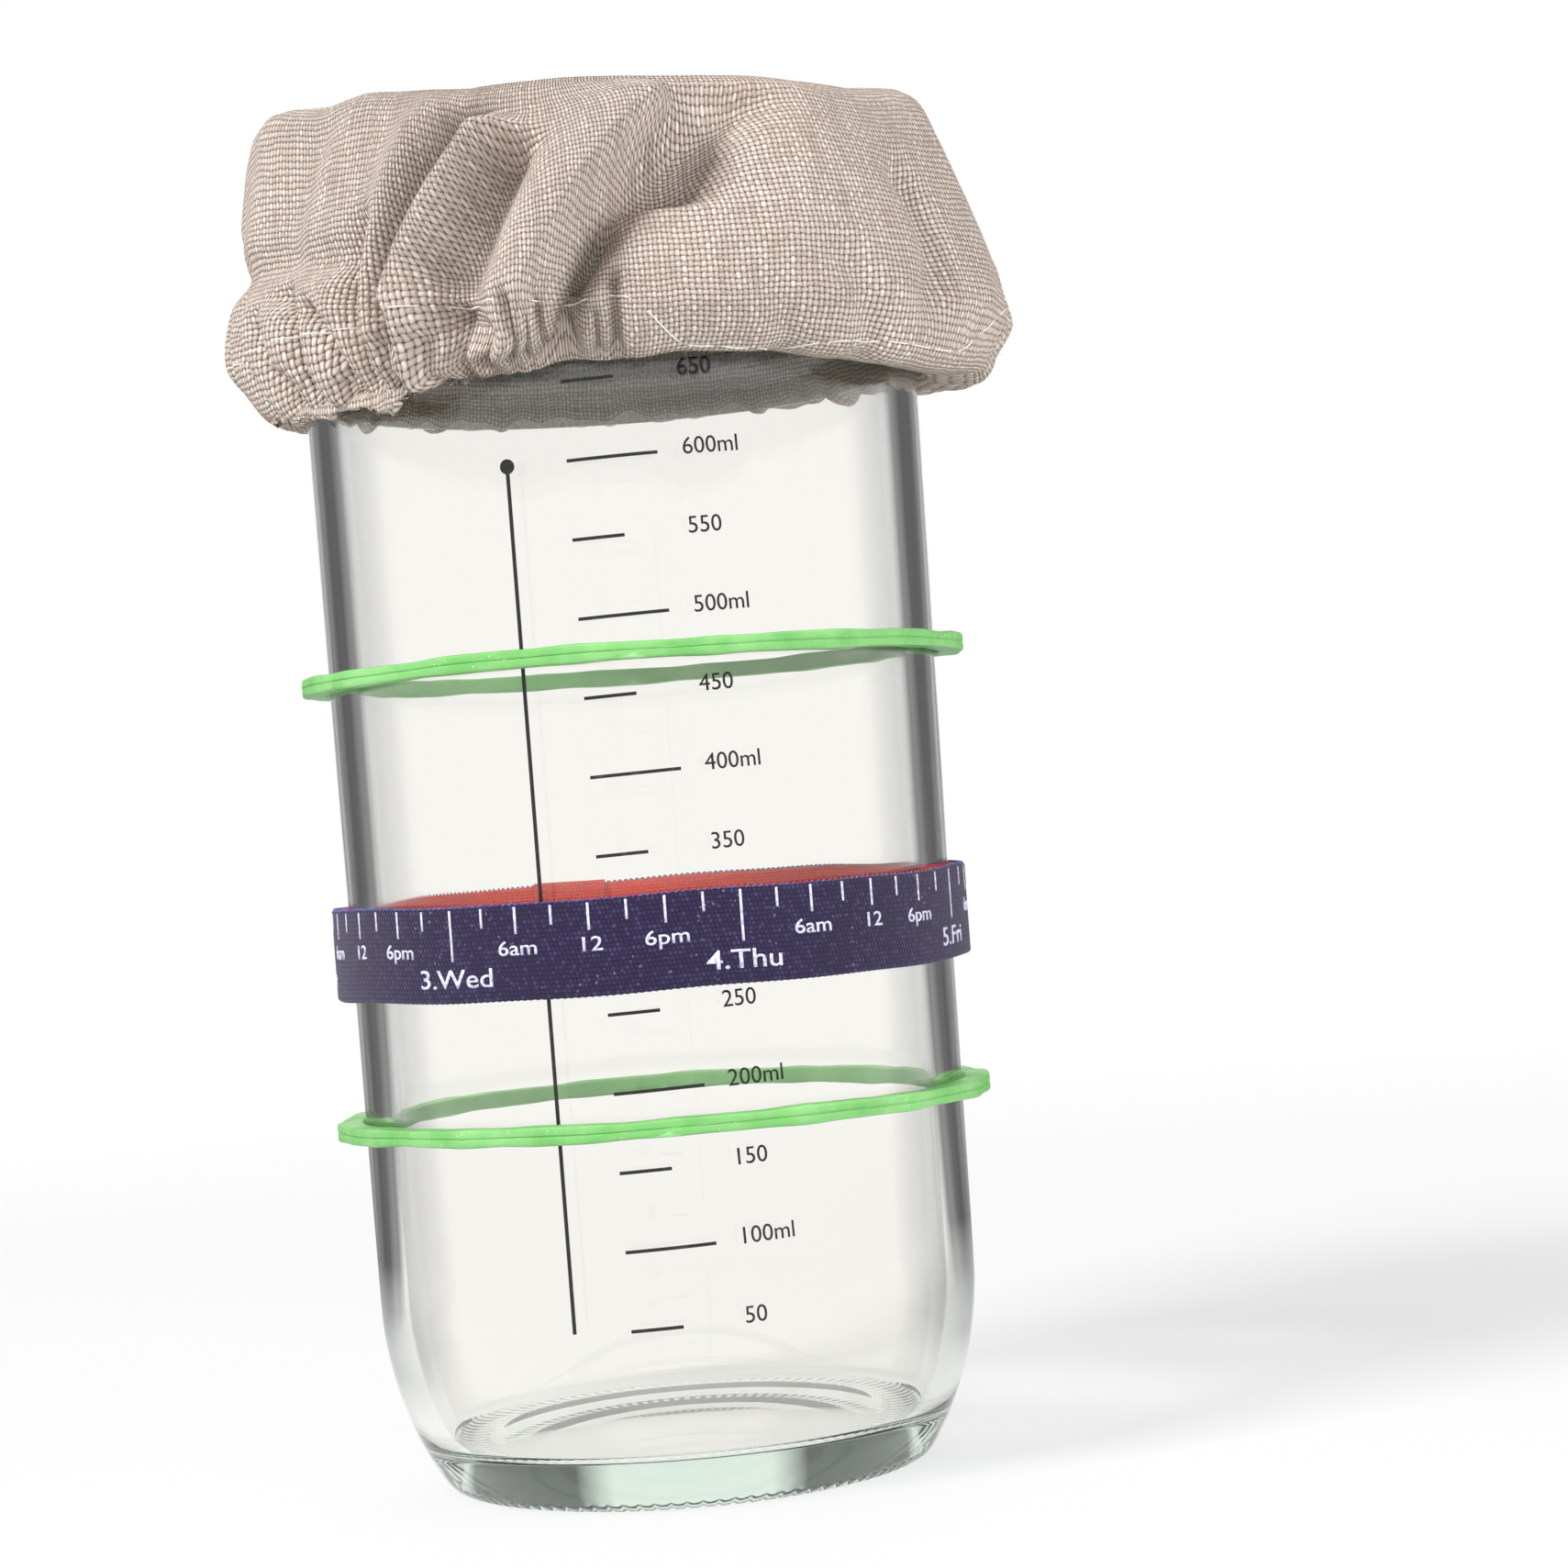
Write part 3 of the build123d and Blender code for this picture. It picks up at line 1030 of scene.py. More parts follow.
@dataclass
class GlassJar:
    """The glass jar with its moulded foot and its printed scale."""

    height: float = 189.0
    heel_top_radius: float = 42.3
    shoulder_radius: float = 43.7
    shoulder_height: float = 160.0
    wall: float = 3.9
    heel_height: float = 27.0
    heel_curve: float = 48.0
    foot_bend: float = 2.4
    bearing_width: float = 3.4
    bearing_bend: float = 1.0
    push_up: float = 3.0
    floor_height: float = 7.6
    floor_crown: float = 0.8
    floor_bend: float = 5.0
    neck_recess: float = 1.8
    neck_wall: float = 3.3
    neck_bend: float = 1.0
    groove_bend: float = 0.8
    shoulder_rise: float = 3.5
    shoulder_bend: float = 2.0
    bead_height: float = 8.5
    bead_stand: float = 1.5
    rim_bend: float = 1.4
    turn_steps: int = 400
    stipple_count: int = 100
    stipple_depth: float = 0.28
    stipple_reach: float = 1.0
    stipple_fade: float = 0.6
    stipple_bend: float = 0.35
    first_mark: float = 25.5
    mark_pitch: float = 10.43
    mark_step: int = 50
    mark_count: int = 13
    print_slope: float = 1.7
    numeral_height: float = 2.3
    numeral_azimuth: float = 11.4
    numeral_drop: float = 0.35
    top_numeral_weight: float = 0.06

    def radius_at(self, height: float) -> float:
        """Outside radius of the drafted wall at a height."""
        share = (height - self.heel_height) / (self.shoulder_height - self.heel_height)
        return self.heel_top_radius + (self.shoulder_radius - self.heel_top_radius) * share

    def heel(self, inset: float, low: float, steps: int = 14) -> list[tuple[float, float, float]]:
        """Corners along the heel's curve, from its foot to where the wall begins.

        Args:
            inset: How far inside the outer skin it lies.
            low: The height of its foot.
            steps: Parts that it is made of.

        Returns:
            Corners for an outline, the first one to be rounded.
        """
        centre = self.heel_top_radius - self.heel_curve
        curve = self.heel_curve - inset
        corners = []
        for count in range(steps + 1):
            height = low + (self.heel_height - low) * count / steps
            reach = math.sqrt(curve**2 - (self.heel_height - height) ** 2)
            corners.append((centre + reach, height, 0.0))
        return corners

    def outline(self) -> list[Point]:
        """The jar's outline, from the underside up its outside and down its inside.

        Returns:
            Radius and height of each point.
        """
        outer = self.heel(0.0, 0.0)
        inner = self.heel(self.wall, self.floor_height)
        foot = outer[0][0]
        bearing = foot - self.foot_bend - self.bearing_width
        floor_edge = inner[0][0]
        neck = self.shoulder_radius - self.neck_recess
        bead = neck + self.bead_stand
        mouth = neck - self.neck_wall
        bead_low = self.height - self.bead_height
        neck_low = self.shoulder_height + self.shoulder_rise
        shares = (0.0, 0.3, 0.6, 0.85)
        underside = [(bearing * s, self.push_up * (1 - s * s), 0.0) for s in shares]
        floor = [
            (floor_edge * s, self.floor_height + self.floor_crown * (1 - s * s), 0.0)
            for s in reversed(shares)
        ]
        bend = self.rim_bend
        corners = [
            *underside,
            (bearing, 0.0, self.bearing_bend),
            (foot, 0.0, self.foot_bend),
            *outer[2:],
            (self.shoulder_radius, self.shoulder_height, self.shoulder_bend),
            (neck, neck_low, self.neck_bend),
            (neck, bead_low - self.bead_stand, self.groove_bend),
            (bead, bead_low, bend),
            (bead, self.height, bend),
            (mouth, self.height, bend),
            (mouth, neck_low, self.shoulder_bend),
            (self.shoulder_radius - self.wall, self.shoulder_height - self.shoulder_rise, self.shoulder_bend),
            *reversed(inner[2:]),
            (floor_edge, self.floor_height, self.floor_bend),
            *floor,
        ]
        return rounded(corners)

    def build_glass(self, finishes: Finishes) -> None:
        """Turns the glass, and moulds the ring of short ribs under its foot.

        Args:
            finishes: The jar's materials.
        """
        bm = turned(self.outline(), self.turn_steps, closed=False)
        points = to_array(bm)
        radius = np.hypot(points[:, 0], points[:, 1])
        turn = np.arctan2(points[:, 0], -points[:, 1])
        foot = self.heel(0.0, 0.0)[0][0] - self.foot_bend
        near = ease(self.stipple_reach + self.stipple_fade, self.stipple_reach, points[:, 2])
        near = near * ease(foot - 3.0, foot - 2.0, radius)
        ribs = ease(0.0, self.stipple_bend, (1 + np.cos(turn * self.stipple_count)) / 2)
        points[:, 2] += near * (1 - ribs) * self.stipple_depth
        from_array(bm, points)
        make_piece(bm, "glass_body", Body.JAR, finishes.glass, ["glass_jar"])

    def build_numerals(self, finishes: Finishes) -> None:
        """Prints the volume beside each mark: millilitres on the hundreds, and a bolder top mark.

        Args:
            finishes: The jar's materials.
        """
        parts = []
        slope = math.tan(math.radians(self.print_slope)) * self.numeral_azimuth * math.pi / 180
        for count in range(self.mark_count):
            volume = (count + 1) * self.mark_step
            words = f"{volume}ml" if count % 2 else str(volume)
            weight = self.top_numeral_weight if count == self.mark_count - 1 else 0.0
            letters = lettering(words, self.numeral_height, weight)
            height = self.first_mark + self.mark_pitch * count
            rise = slope * self.radius_at(height) - self.numeral_drop
            wrap_on(letters, self.numeral_azimuth, height + rise, self.radius_at, self.print_slope)
            parts.append(letters)
        make_piece(join(parts), "scale_numerals", Body.JAR, finishes.ink)

    def build(self, finishes: Finishes) -> None:
        """Makes the glass and its numerals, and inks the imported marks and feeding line.

        Args:
            finishes: The jar's materials.
        """
        self.build_glass(finishes)
        self.build_numerals(finishes)
        give_finish("volume_scale", finishes.ink)
        give_finish("feed_line", finishes.ink)


@dataclass(frozen=True)
class Fold:
    """A roll, crease or hollow in the cloth, along points of azimuth in degrees and height.

    Its numbers are how far it rises, its widths to the left and right, how many millimetres it leans
    over, how far its ends run out, and how square its section is.
    """

    line: tuple[Point, ...]
    rise: float
    left: float
    right: float
    lean: float = 0.0
    fade: float = 4.0
    power: float = 2.0


FRONT_FOLDS = (
    # The big roll that crosses the front and overhangs to the right
    Fold(((8, 187.5), (3, 183), (-3, 177), (-8.5, 170), (-13, 163.5), (-16, 156)), 6.0, 6.5, 2.6, 2.6, 3.5),
    Fold(((13, 184), (7, 177.5), (2, 171), (-3, 165), (-6, 158), (-7, 151)), -4.6, 1.8, 3.0, 0.0, 4.0, 1.5),
    Fold(((0, 170), (-3, 165), (-5, 160.3), (-6, 156.4), (-7, 151)), -5.6, 1.6, 1.6, 0.0, 2.5, 1.7),
    # The crease between the two rolls, and the second roll that overhangs to the left
    Fold(((-13, 181), (-16, 175), (-19, 169), (-20.5, 163), (-20, 157)), -6.6, 2.7, 2.7, 0.0, 3.0, 1.8),
    Fold(
        ((-15, 184), (-19.5, 177), (-24, 171.5), (-26, 166), (-27, 160), (-27, 154)),
        5.4, 2.0, 2.2, -2.2, 3.0,
    ),
    Fold(((-23.5, 166), (-22.5, 161), (-21, 156), (-18, 151)), -2.0, 0.9, 1.4, 0.0, 2.0, 1.4),
    # The deep valley, and the upright roll on its left
    Fold(
        ((-19, 186), (-24.5, 179), (-29, 173), (-31, 168), (-31.5, 163), (-31.5, 158)),
        -6.2, 2.2, 1.6, 0.0, 3.0, 1.5,
    ),
    Fold(
        ((-26, 188), (-29, 184.2), (-32.5, 178), (-34, 172), (-35, 165), (-35, 157)),
        2.6, 2.8, 2.4, 0.0, 4.0,
    ),
    Fold(((-37, 174), (-38.5, 167.6), (-38.5, 161.7), (-38, 154)), -4.4, 2.1, 1.5, 0.0, 3.0, 1.4),
    # Soft shapes of the smooth side
    Fold(((18, 187), (13, 181), (9, 174)), -8.6, 4.6, 6.2, 0.0, 3.0),
    Fold(((33, 188), (31, 178), (28, 168)), 1.2, 7.0, 7.0, 0.0, 6.0),
    Fold(((54, 178), (56, 170.3), (53, 160)), -2.8, 3.6, 2.8, 0.0, 5.0),
    Fold(((68, 186), (70, 172), (68, 161)), 0.9, 5.0, 5.0, 0.0, 5.0),
    Fold(((36, 165), (40, 158), (42, 151)), -1.2, 2.4, 2.4, 0.0, 4.0),
    Fold(((24, 161), (27, 156), (28, 151)), -0.9, 2.0, 2.0, 0.0, 3.0),
    # Pleats on the lower left
    Fold(((-56, 167), (-52.5, 161.5), (-48.5, 153), (-46, 148)), -5.0, 2.2, 1.5, 0.0, 2.5, 1.2),
    Fold(((-48, 164), (-44, 157.9), (-41.5, 150)), -5.0, 1.7, 1.3, 0.0, 2.5, 1.2),
    Fold(((-63, 164), (-60, 157), (-56, 148)), -4.2, 2.3, 1.5, 0.0, 3.0, 1.3),
    Fold(((-75, 168), (-71, 159), (-66, 148)), -3.4, 2.8, 2.0, 0.0, 4.0, 1.4),
    Fold(((-50, 188), (-55, 180), (-57, 172)), -1.3, 4.0, 3.6, 0.0, 5.0),
    Fold(((-66, 190), (-68, 180), (-70, 174)), 1.4, 5.0, 5.0, 0.0, 5.0),
    # The full, bunched stretches of the hem that the gathers cut into
    Fold(((-17, 162), (-17, 150)), 2.0, 15.0, 17.0, 0.0, 4.0, 4.0),
    Fold(((-54, 165), (-50, 150)), 1.6, 15.0, 12.0, 0.0, 4.0, 4.0),
    # Tight hem gathers, left to right
    Fold(((-57, 157), (-55.5, 149)), -2.6, 1.1, 1.0, 0.0, 1.5, 1.2),
    Fold(((-52.5, 156), (-51, 149)), -2.4, 1.0, 0.9, 0.0, 1.5, 1.2),
    Fold(((-44.5, 155.5), (-43.5, 149)), -2.4, 1.0, 0.9, 0.0, 1.5, 1.2),
    Fold(((-34.5, 158), (-34, 150)), -3.4, 1.1, 1.0, 0.0, 1.5, 1.2),
    Fold(((-31.2, 157.5), (-31, 150)), -2.6, 0.8, 0.8, 0.0, 1.5, 1.2),
    Fold(((-28, 161), (-28, 150)), -4.2, 1.2, 1.1, 0.0, 1.5, 1.2),
    Fold(((-25.4, 158), (-25, 150)), -3.4, 0.9, 0.9, 0.0, 1.5, 1.2),
    Fold(((-22.6, 160), (-22, 150)), -3.8, 1.0, 1.0, 0.0, 1.5, 1.2),
    Fold(((-19, 158), (-18.6, 150)), -3.0, 0.9, 0.9, 0.0, 1.5, 1.2),
    Fold(((-15.5, 161), (-15, 150)), -4.4, 1.1, 1.1, 0.0, 1.5, 1.2),
    Fold(((-13, 159), (-12.4, 150)), -3.2, 0.8, 0.9, 0.0, 1.5, 1.2),
    Fold(((-10.4, 160), (-10, 150)), -4.2, 1.0, 1.0, 0.0, 1.5, 1.2),
    Fold(((1.8, 163), (1.4, 150)), -4.4, 1.3, 0.9, 0.0, 1.6, 1.2),
    Fold(((-1.4, 158), (-1.6, 150)), -2.8, 0.8, 0.7, 0.0, 1.2, 1.2),
)


@dataclass
class LinenCover:
    """The linen bonnet: crown, side, bulge, hem and the fold turned up inside it."""

    skirt: tuple[Point, ...] = (
        (0.0, 191.0),
        (20.0, 191.1),
        (36.0, 191.4),
        (42.0, 191.2),
        (45.2, 189.6),
        (47.0, 185.5),
        (49.6, 178.5),
        (51.8, 171.0),
        (53.2, 164.0),
        (52.9, 159.0),
        (51.2, 155.0),
        (49.0, 152.9),
        (46.6, 152.6),
        (44.6, 154.0),
        (44.1, 157.5),
        (44.1, 161.0),
    )
    hem_height: float = 152.8
    rim_height: float = 190.0
    rows: int = 92
    crown_rows: int = 20
    section_steps: int = 400
    turn_steps: int = 480
    bunching: float = 0.34
    bunching_azimuth: float = -22.0
    thickness: float = 0.8
    thread_pitch: float = 0.78
    smooth_azimuth: float = 32.0
    crown_weave_radius: float = 43.5
    rim_clear: float = 44.4
    elastic_clear: float = 46.7
    crown_clear: float = 189.9
    ring_top: float = 151.2
    ring_clear: float = 48.8
    gather_count: int = 26
    gather_start: float = 78.0
    gather_end: float = 282.0
    back_rolls: int = 9
    seed: int = 11
    flat_width: float = 195.0
    flat_area: float = 0.0299
    rim_levels: tuple[Point, ...] = (
        (-120, 1.2), (-85, 2.6), (-75, 2.8), (-62, 2.0), (-53, 1.2), (-42, 2.0), (-30, 0.9), (-21, -0.4),
        (-10, -0.9), (20, -0.9), (49, -0.8), (66, 0.3), (85, 2.2), (120, 0.8), (180, 0.2),
    )
    hem_levels: tuple[Point, ...] = (
        (-120, 0.8), (-85, 0.6), (-73, -1.6), (-58, -2.6), (-49, -3.4), (-39, -3.2), (-34, -2.4), (-31, -0.7),
        (-20, -0.3), (0, -0.1), (11, 0.8), (26, 0.3), (37, -0.7), (50, -1.2), (63, -2.0), (85, -0.9),
        (120, 0.4), (180, 1.6),
    )
    flare_levels: tuple[tuple[float, float, float], ...] = (
        (152.0, 4.6, 0.2), (156.0, 3.8, -0.2), (160.0, 4.6, -0.4), (164.0, 3.7, -0.4), (171.0, 3.0, -0.2),
        (178.0, 2.3, 0.3), (186.0, 1.8, 2.0), (190.0, 1.4, 2.6),
    )
    buckle_height: float = 171.4
    buckle_half: float = 2.6
    bulge_drop: float = 9.0
    bulge_half: float = 7.0
    bulge_rise: float = 0.9
    slow_wave: float = 0.22
    back_hem_wave: float = 0.32
    crown_wave: float = 0.35
    elastic_top: float = 161.5
    easing: float = 0.8
    stitch_height: float = 153.4
    back_stitch_rise: float = 7.0
    stitch_thickness: float = 0.2
    stitch_spans: Point = (3.6, 6.4)
    stitch_gaps: Point = (0.6, 1.8)
    stitch_points: int = 6
    stitch_arch: float = 0.16
    stitch_sink: float = 0.05
    stitch_sway: float = 0.35
    stitch_waves: int = 11
    fibre_count: int = 900
    fibre_thickness: float = 0.035
    fibre_sink: float = 0.05
    fibre_lengths: Point = (0.5, 1.6)
    hem_fibres: Point = (152.6, 157.0)
    side_fibres: Point = (156.0, 188.0)
    path: np.ndarray = field(init=False)
    radii: np.ndarray = field(init=False)
    heights: np.ndarray = field(init=False)
    hem_path: float = field(init=False)

    def __post_init__(self) -> None:
        """Works out the cover's section as evenly spaced points through the skirt's own."""
        ends = [self.skirt[0], *self.skirt, self.skirt[-1]]
        dense = []
        for before, start, end, after in zip(ends, ends[1:], ends[2:], ends[3:]):
            handles = [(e - b) / 6 for b, e in zip(np.array([before, start]), np.array([end, after]))]
            start_point, end_point = np.array(start), np.array(end)
            for share in np.linspace(0, 1, 12, endpoint=False):
                rest = 1 - share
                dense.append(
                    start_point * rest**3
                    + (start_point + handles[0]) * 3 * rest**2 * share
                    + (end_point - handles[1]) * 3 * rest * share**2
                    + end_point * share**3
                )
        dense.append(np.array(self.skirt[-1]))
        line = np.array(dense)
        walked = np.concatenate([[0.0], np.cumsum(np.hypot(*np.diff(line, axis=0).T))])
        self.path = np.linspace(0, walked[-1], self.section_steps)
        self.radii = np.interp(self.path, walked, line[:, 0])
        self.heights = np.interp(self.path, walked, line[:, 1])
        self.hem_path = float(self.path[int(np.argmin(self.heights))])

    def path_at(self, height: Any) -> Any:
        """How far along the cloth from the crown's middle the outer side is, at a height or heights."""
        side = (self.radii > 41.0) & (self.path <= self.hem_path)
        return np.interp(-np.asarray(height, float), -self.heights[side], self.path[side])

    def row_paths(self) -> np.ndarray:
        """Where the rows of the mesh lie: wide on the crown and close on the side.

        Returns:
            How far along the cloth each row is.
        """
        rim = float(self.path_at(self.rim_height))
        crown = np.linspace(0, 1, self.crown_rows, endpoint=False) ** 0.8 * rim
        side = np.linspace(rim, self.path[-1], self.rows - self.crown_rows)
        return np.concatenate([crown, side])

    def back_folds(self) -> list[Fold]:
        """Gathers round the sides and the back: each a narrow valley at the hem that runs out above.

        Returns:
            The gathers, and the slow rolls over them.
        """
        chance = random.Random(self.seed)
        step = (self.gather_end - self.gather_start) / self.gather_count
        folds = []
        for count in range(self.gather_count):
            azimuth = self.gather_start + step * (count + chance.uniform(0.15, 0.85))
            tall = count % 3 == 0
            top = chance.uniform(176, 188) if tall else chance.uniform(160, 170)
            drift = chance.uniform(-7, 7) if tall else chance.uniform(-3, 3)
            middle = (azimuth + drift * 0.6, (top + self.hem_height) / 2 + 2)
            width = chance.uniform(1.6, 2.6) if tall else chance.uniform(1.0, 1.6)
            depth = chance.uniform(1.8, 3.0) if tall else chance.uniform(1.1, 2.0)
            line = ((azimuth + drift, top), middle, (azimuth, self.hem_height - 2))
            folds.append(Fold(line, -depth, width, width * chance.uniform(0.7, 1.3), 0.0, 3.0, 1.5))
        for count in range(self.back_rolls):
            share = (count + 0.5) / self.back_rolls
            azimuth = self.gather_start + (self.gather_end - self.gather_start) * share
            swing = chance.uniform(-9, 9)
            line = ((azimuth + swing, 189.0), (azimuth + swing / 2, 174.0), (azimuth, 160.0))
            lean = chance.uniform(-1.4, 1.4)
            rise = chance.uniform(1.0, 2.4)
            left = chance.uniform(4, 7)
            right = chance.uniform(4, 7)
            folds.append(Fold(line, rise, left, right, lean, 5.0))
        return folds

    def fold_shift(
        self, fold: Fold, azimuth: np.ndarray, path: np.ndarray, radius: np.ndarray
    ) -> tuple[np.ndarray, np.ndarray]:
        """How far one fold moves the cloth.

        Args:
            fold: The fold.
            azimuth: The points' azimuths, in degrees.
            path: How far along the cloth they lie.
            radius: How far from the axis they lie.

        Returns:
            How far each point moves out of the cloth, and round the jar in degrees.
        """
        stations = self.path_at([height for _, height in fold.line])
        middle = np.array([turn for turn, _ in fold.line], float)
        degree = min(3, len(middle) - 1)
        curve = np.polynomial.Polynomial.fit(stations, middle, degree)
        held = np.clip(path, stations[0], stations[-1])
        apart = (azimuth - curve(held) + 180) % 360 - 180
        slope = np.radians(curve.deriv()(held)) * radius
        distance = np.radians(apart) * radius / np.sqrt(1 + slope**2)
        width = np.where(distance < 0, fold.left, fold.right)
        across = np.exp(-np.abs(distance / width) ** fold.power)
        along = ease(stations[0] - fold.fade, stations[0] + fold.fade / 2, path)
        along = along * ease(stations[-1] + fold.fade, stations[-1] - fold.fade / 4, path)
        wide = np.exp(-np.abs(distance / (width * 1.2)) ** 2)
        turn = np.degrees(fold.lean * wide * along / np.maximum(radius, 20.0))
        return fold.rise * across * along, turn

    def fold_all(
        self, azimuth: np.ndarray, path: np.ndarray, radius: np.ndarray, height: np.ndarray
    ) -> tuple[np.ndarray, np.ndarray]:
        """How far the folds, the buckle on the left and slow unevenness move the cloth.

        Args:
            azimuth: The points' azimuths, in degrees.
            path: How far along the cloth they lie.
            radius: How far from the axis they lie.
            height: How high they lie.

        Returns:
            How far each point moves out of the cloth, and its azimuth once the folds lean over.
        """
        outer = self.outer_share(path)
        turn = azimuth.copy()
        out = np.zeros_like(path)
        for fold in (*FRONT_FOLDS, *self.back_folds()):
            rise, swing = self.fold_shift(fold, azimuth, path, np.maximum(radius, 12.0))
            out += rise
            turn += swing * outer
        # A buckle runs round the left side, pinched in above a fuller lower bulge
        left = ease(-34.0, -44.0, azimuth) * ease(-150.0, -110.0, azimuth)
        drop = (height - self.buckle_height - 1.5 * wave_round(azimuth, 3)) / self.buckle_half
        fuller = (height - self.buckle_height + self.bulge_drop) / self.bulge_half
        deep = 1.2 + 1.4 * ease(-55.0, -40.0, azimuth) + 0.8 * ease(-66.0, -82.0, azimuth)
        out -= left * deep * np.exp(-(drop**2))
        out += left * self.bulge_rise * np.exp(-(fuller**2))
        # Slow unevenness of hand-gathered cloth
        wave = wave_round(azimuth * 5 + path * 3, 1) + wave_round(azimuth * 9 - path * 5, 1, 40)
        out += self.slow_wave * wave * ease(20.0, 50.0, path)
        return out, turn

    def outer_share(self, path: np.ndarray) -> np.ndarray:
        """1 on the cloth's outer side, and 0 on the hem's fold that is turned up inside."""
        return ease(self.hem_path + 3.0, self.hem_path, path)

    def flare(self, azimuth: np.ndarray, path: np.ndarray, height: np.ndarray) -> np.ndarray:
        """How much further out the cloth stands on the right and on the left than in front.

        Args:
            azimuth: The points' azimuths, in degrees.
            path: How far along the cloth they lie.
            height: How high they lie.

        Returns:
            How much wider each point lies.
        """
        side = np.sin(np.radians(azimuth))
        levels = np.array(self.flare_levels)
        wider = np.where(
            side > 0,
            np.interp(height, levels[:, 0], levels[:, 1]) * np.maximum(side, 0) ** 2,
            np.interp(height, levels[:, 0], levels[:, 2]) * np.maximum(-side, 0) ** 2,
        )
        return wider * ease(30.0, 46.0, path)

    def hang(self, azimuth: np.ndarray, path: np.ndarray) -> tuple[np.ndarray, np.ndarray, np.ndarray]:
        """How much higher the rim and the hem hang round the jar, and how the crown waves.

        Args:
            azimuth: The points' azimuths, in degrees.
            path: How far along the cloth they lie.

        Returns:
            How far the rim's level, the hem's level and the crown's waves lift each point.
        """
        rims = np.array(self.rim_levels)
        rim_lift = np.interp(azimuth, rims[:, 0], rims[:, 1], period=360)
        rim_path = float(self.path_at(self.rim_height))
        rim_share = ease(8.0, 42.0, path) * ease(rim_path + 14.0, rim_path + 1.0, path)
        hems = np.array(self.hem_levels)
        hem_lift = np.interp(azimuth, hems[:, 0], hems[:, 1], period=360)
        uneven = wave_round(azimuth, 31) + wave_round(azimuth, 47, 60)
        uneven = uneven + wave_round(azimuth, 19)
        hem_lift = hem_lift + self.back_hem_wave * uneven * ease(90.0, 130.0, np.abs(azimuth))
        hem_share = ease(self.hem_path - 12.0, self.hem_path - 2.0, path)
        hem_share = hem_share * ease(self.path[-1], self.hem_path + 2.0, path)
        crown = self.crown_wave * wave_round(azimuth, 4, 60) * ease(10.0, 34.0, path)
        return rim_lift * rim_share, hem_lift * hem_share, crown * ease(rim_path + 6, rim_path, path)

    def keep_clear(
        self, path: np.ndarray, radius: np.ndarray, height: np.ndarray
    ) -> tuple[np.ndarray, np.ndarray]:
        """Keeps the cloth outside the rim, the elastic and the upper ring.

        Args:
            path: How far along the cloth the points lie.
            radius: How far from the axis they lie.
            height: How high they lie.

        Returns:
            Their radius and height, mended.
        """
        rim_path = float(self.path_at(self.rim_height))
        inner = path > self.hem_path + 3.0
        least = np.where(height < self.elastic_top, self.elastic_clear, self.rim_clear)
        # The cloth eases up to what it covers rather than being cut flat
        room = radius - least
        eased = np.where(room > self.easing, room, self.easing * np.exp((room - self.easing) / self.easing))
        on_side = ease(rim_path - 4.0, rim_path, path) * (~inner)
        on_side = on_side * ease(self.hem_path + 2.0, self.hem_path - 1.0, path)
        radius = radius + (least + eased - radius) * on_side
        height = np.where(path < rim_path, np.maximum(height, self.crown_clear), height)
        # Where the hem hangs lowest it stands away, and leaves room for the upper ring
        passing = ease(self.ring_top + 0.9, self.ring_top + 0.1, height) * ease(40.0, 44.0, path)
        return radius + np.maximum(self.ring_clear - radius, 0.0) * passing, height

    def shape(self, azimuth: np.ndarray, path: np.ndarray) -> np.ndarray:
        """Where the cloth's points lie once it is gathered and folded.

        Args:
            azimuth: The points' azimuths, in degrees.
            path: How far along the cloth they lie from the crown's middle.

        Returns:
            The points, in millimetres.
        """
        radius = np.interp(path, self.path, self.radii)
        height = np.interp(path, self.path, self.heights)
        slope_r = np.interp(path, self.path, np.gradient(self.radii, self.path))
        slope_z = np.interp(path, self.path, np.gradient(self.heights, self.path))
        length = np.hypot(slope_r, slope_z)
        out_r, out_z = -slope_z / length, slope_r / length
        outer = self.outer_share(path)
        out, turn = self.fold_all(azimuth, path, radius, height)
        rim, hem, crown = self.hang(azimuth, path)
        radius = radius + self.flare(azimuth, path, height) * outer
        radius = radius + out * out_r * outer
        height = height + out * out_z * outer + rim + hem
        height = height + crown
        radius, height = self.keep_clear(path, radius, height)
        spun = np.radians(turn)
        return np.stack([radius * np.sin(spun), -radius * np.cos(spun), height], axis=1)

    def thread_counts(
        self, points: np.ndarray, azimuth: np.ndarray, path: np.ndarray
    ) -> tuple[np.ndarray, float]:
        """Counts the threads round the jar by the side's mean length, so that folds take up cloth.

        Args:
            points: The cloth's points.
            azimuth: Their azimuths before folding, in degrees.
            path: How far along the cloth they lie.

        Returns:
            Each point's count from the smooth side, and how many threads go round.
        """
        lengths = []
        for station in np.unique(path[(path > self.path_at(187.0)) & (path < self.hem_path)]):
            row = np.flatnonzero(path == station)
            row = row[np.argsort(azimuth[row])]
            turns = azimuth[row]
            lengths.append(np.linalg.norm(np.diff(points[row], axis=0, append=points[row[:1]]), axis=1))
        walked = np.concatenate([[0.0], np.cumsum(np.mean(lengths, axis=0))]) / self.thread_pitch
        start = np.interp(self.smooth_azimuth, turns, walked[:-1])
        return np.interp(azimuth, turns, walked[:-1]) - start, float(walked[-1])

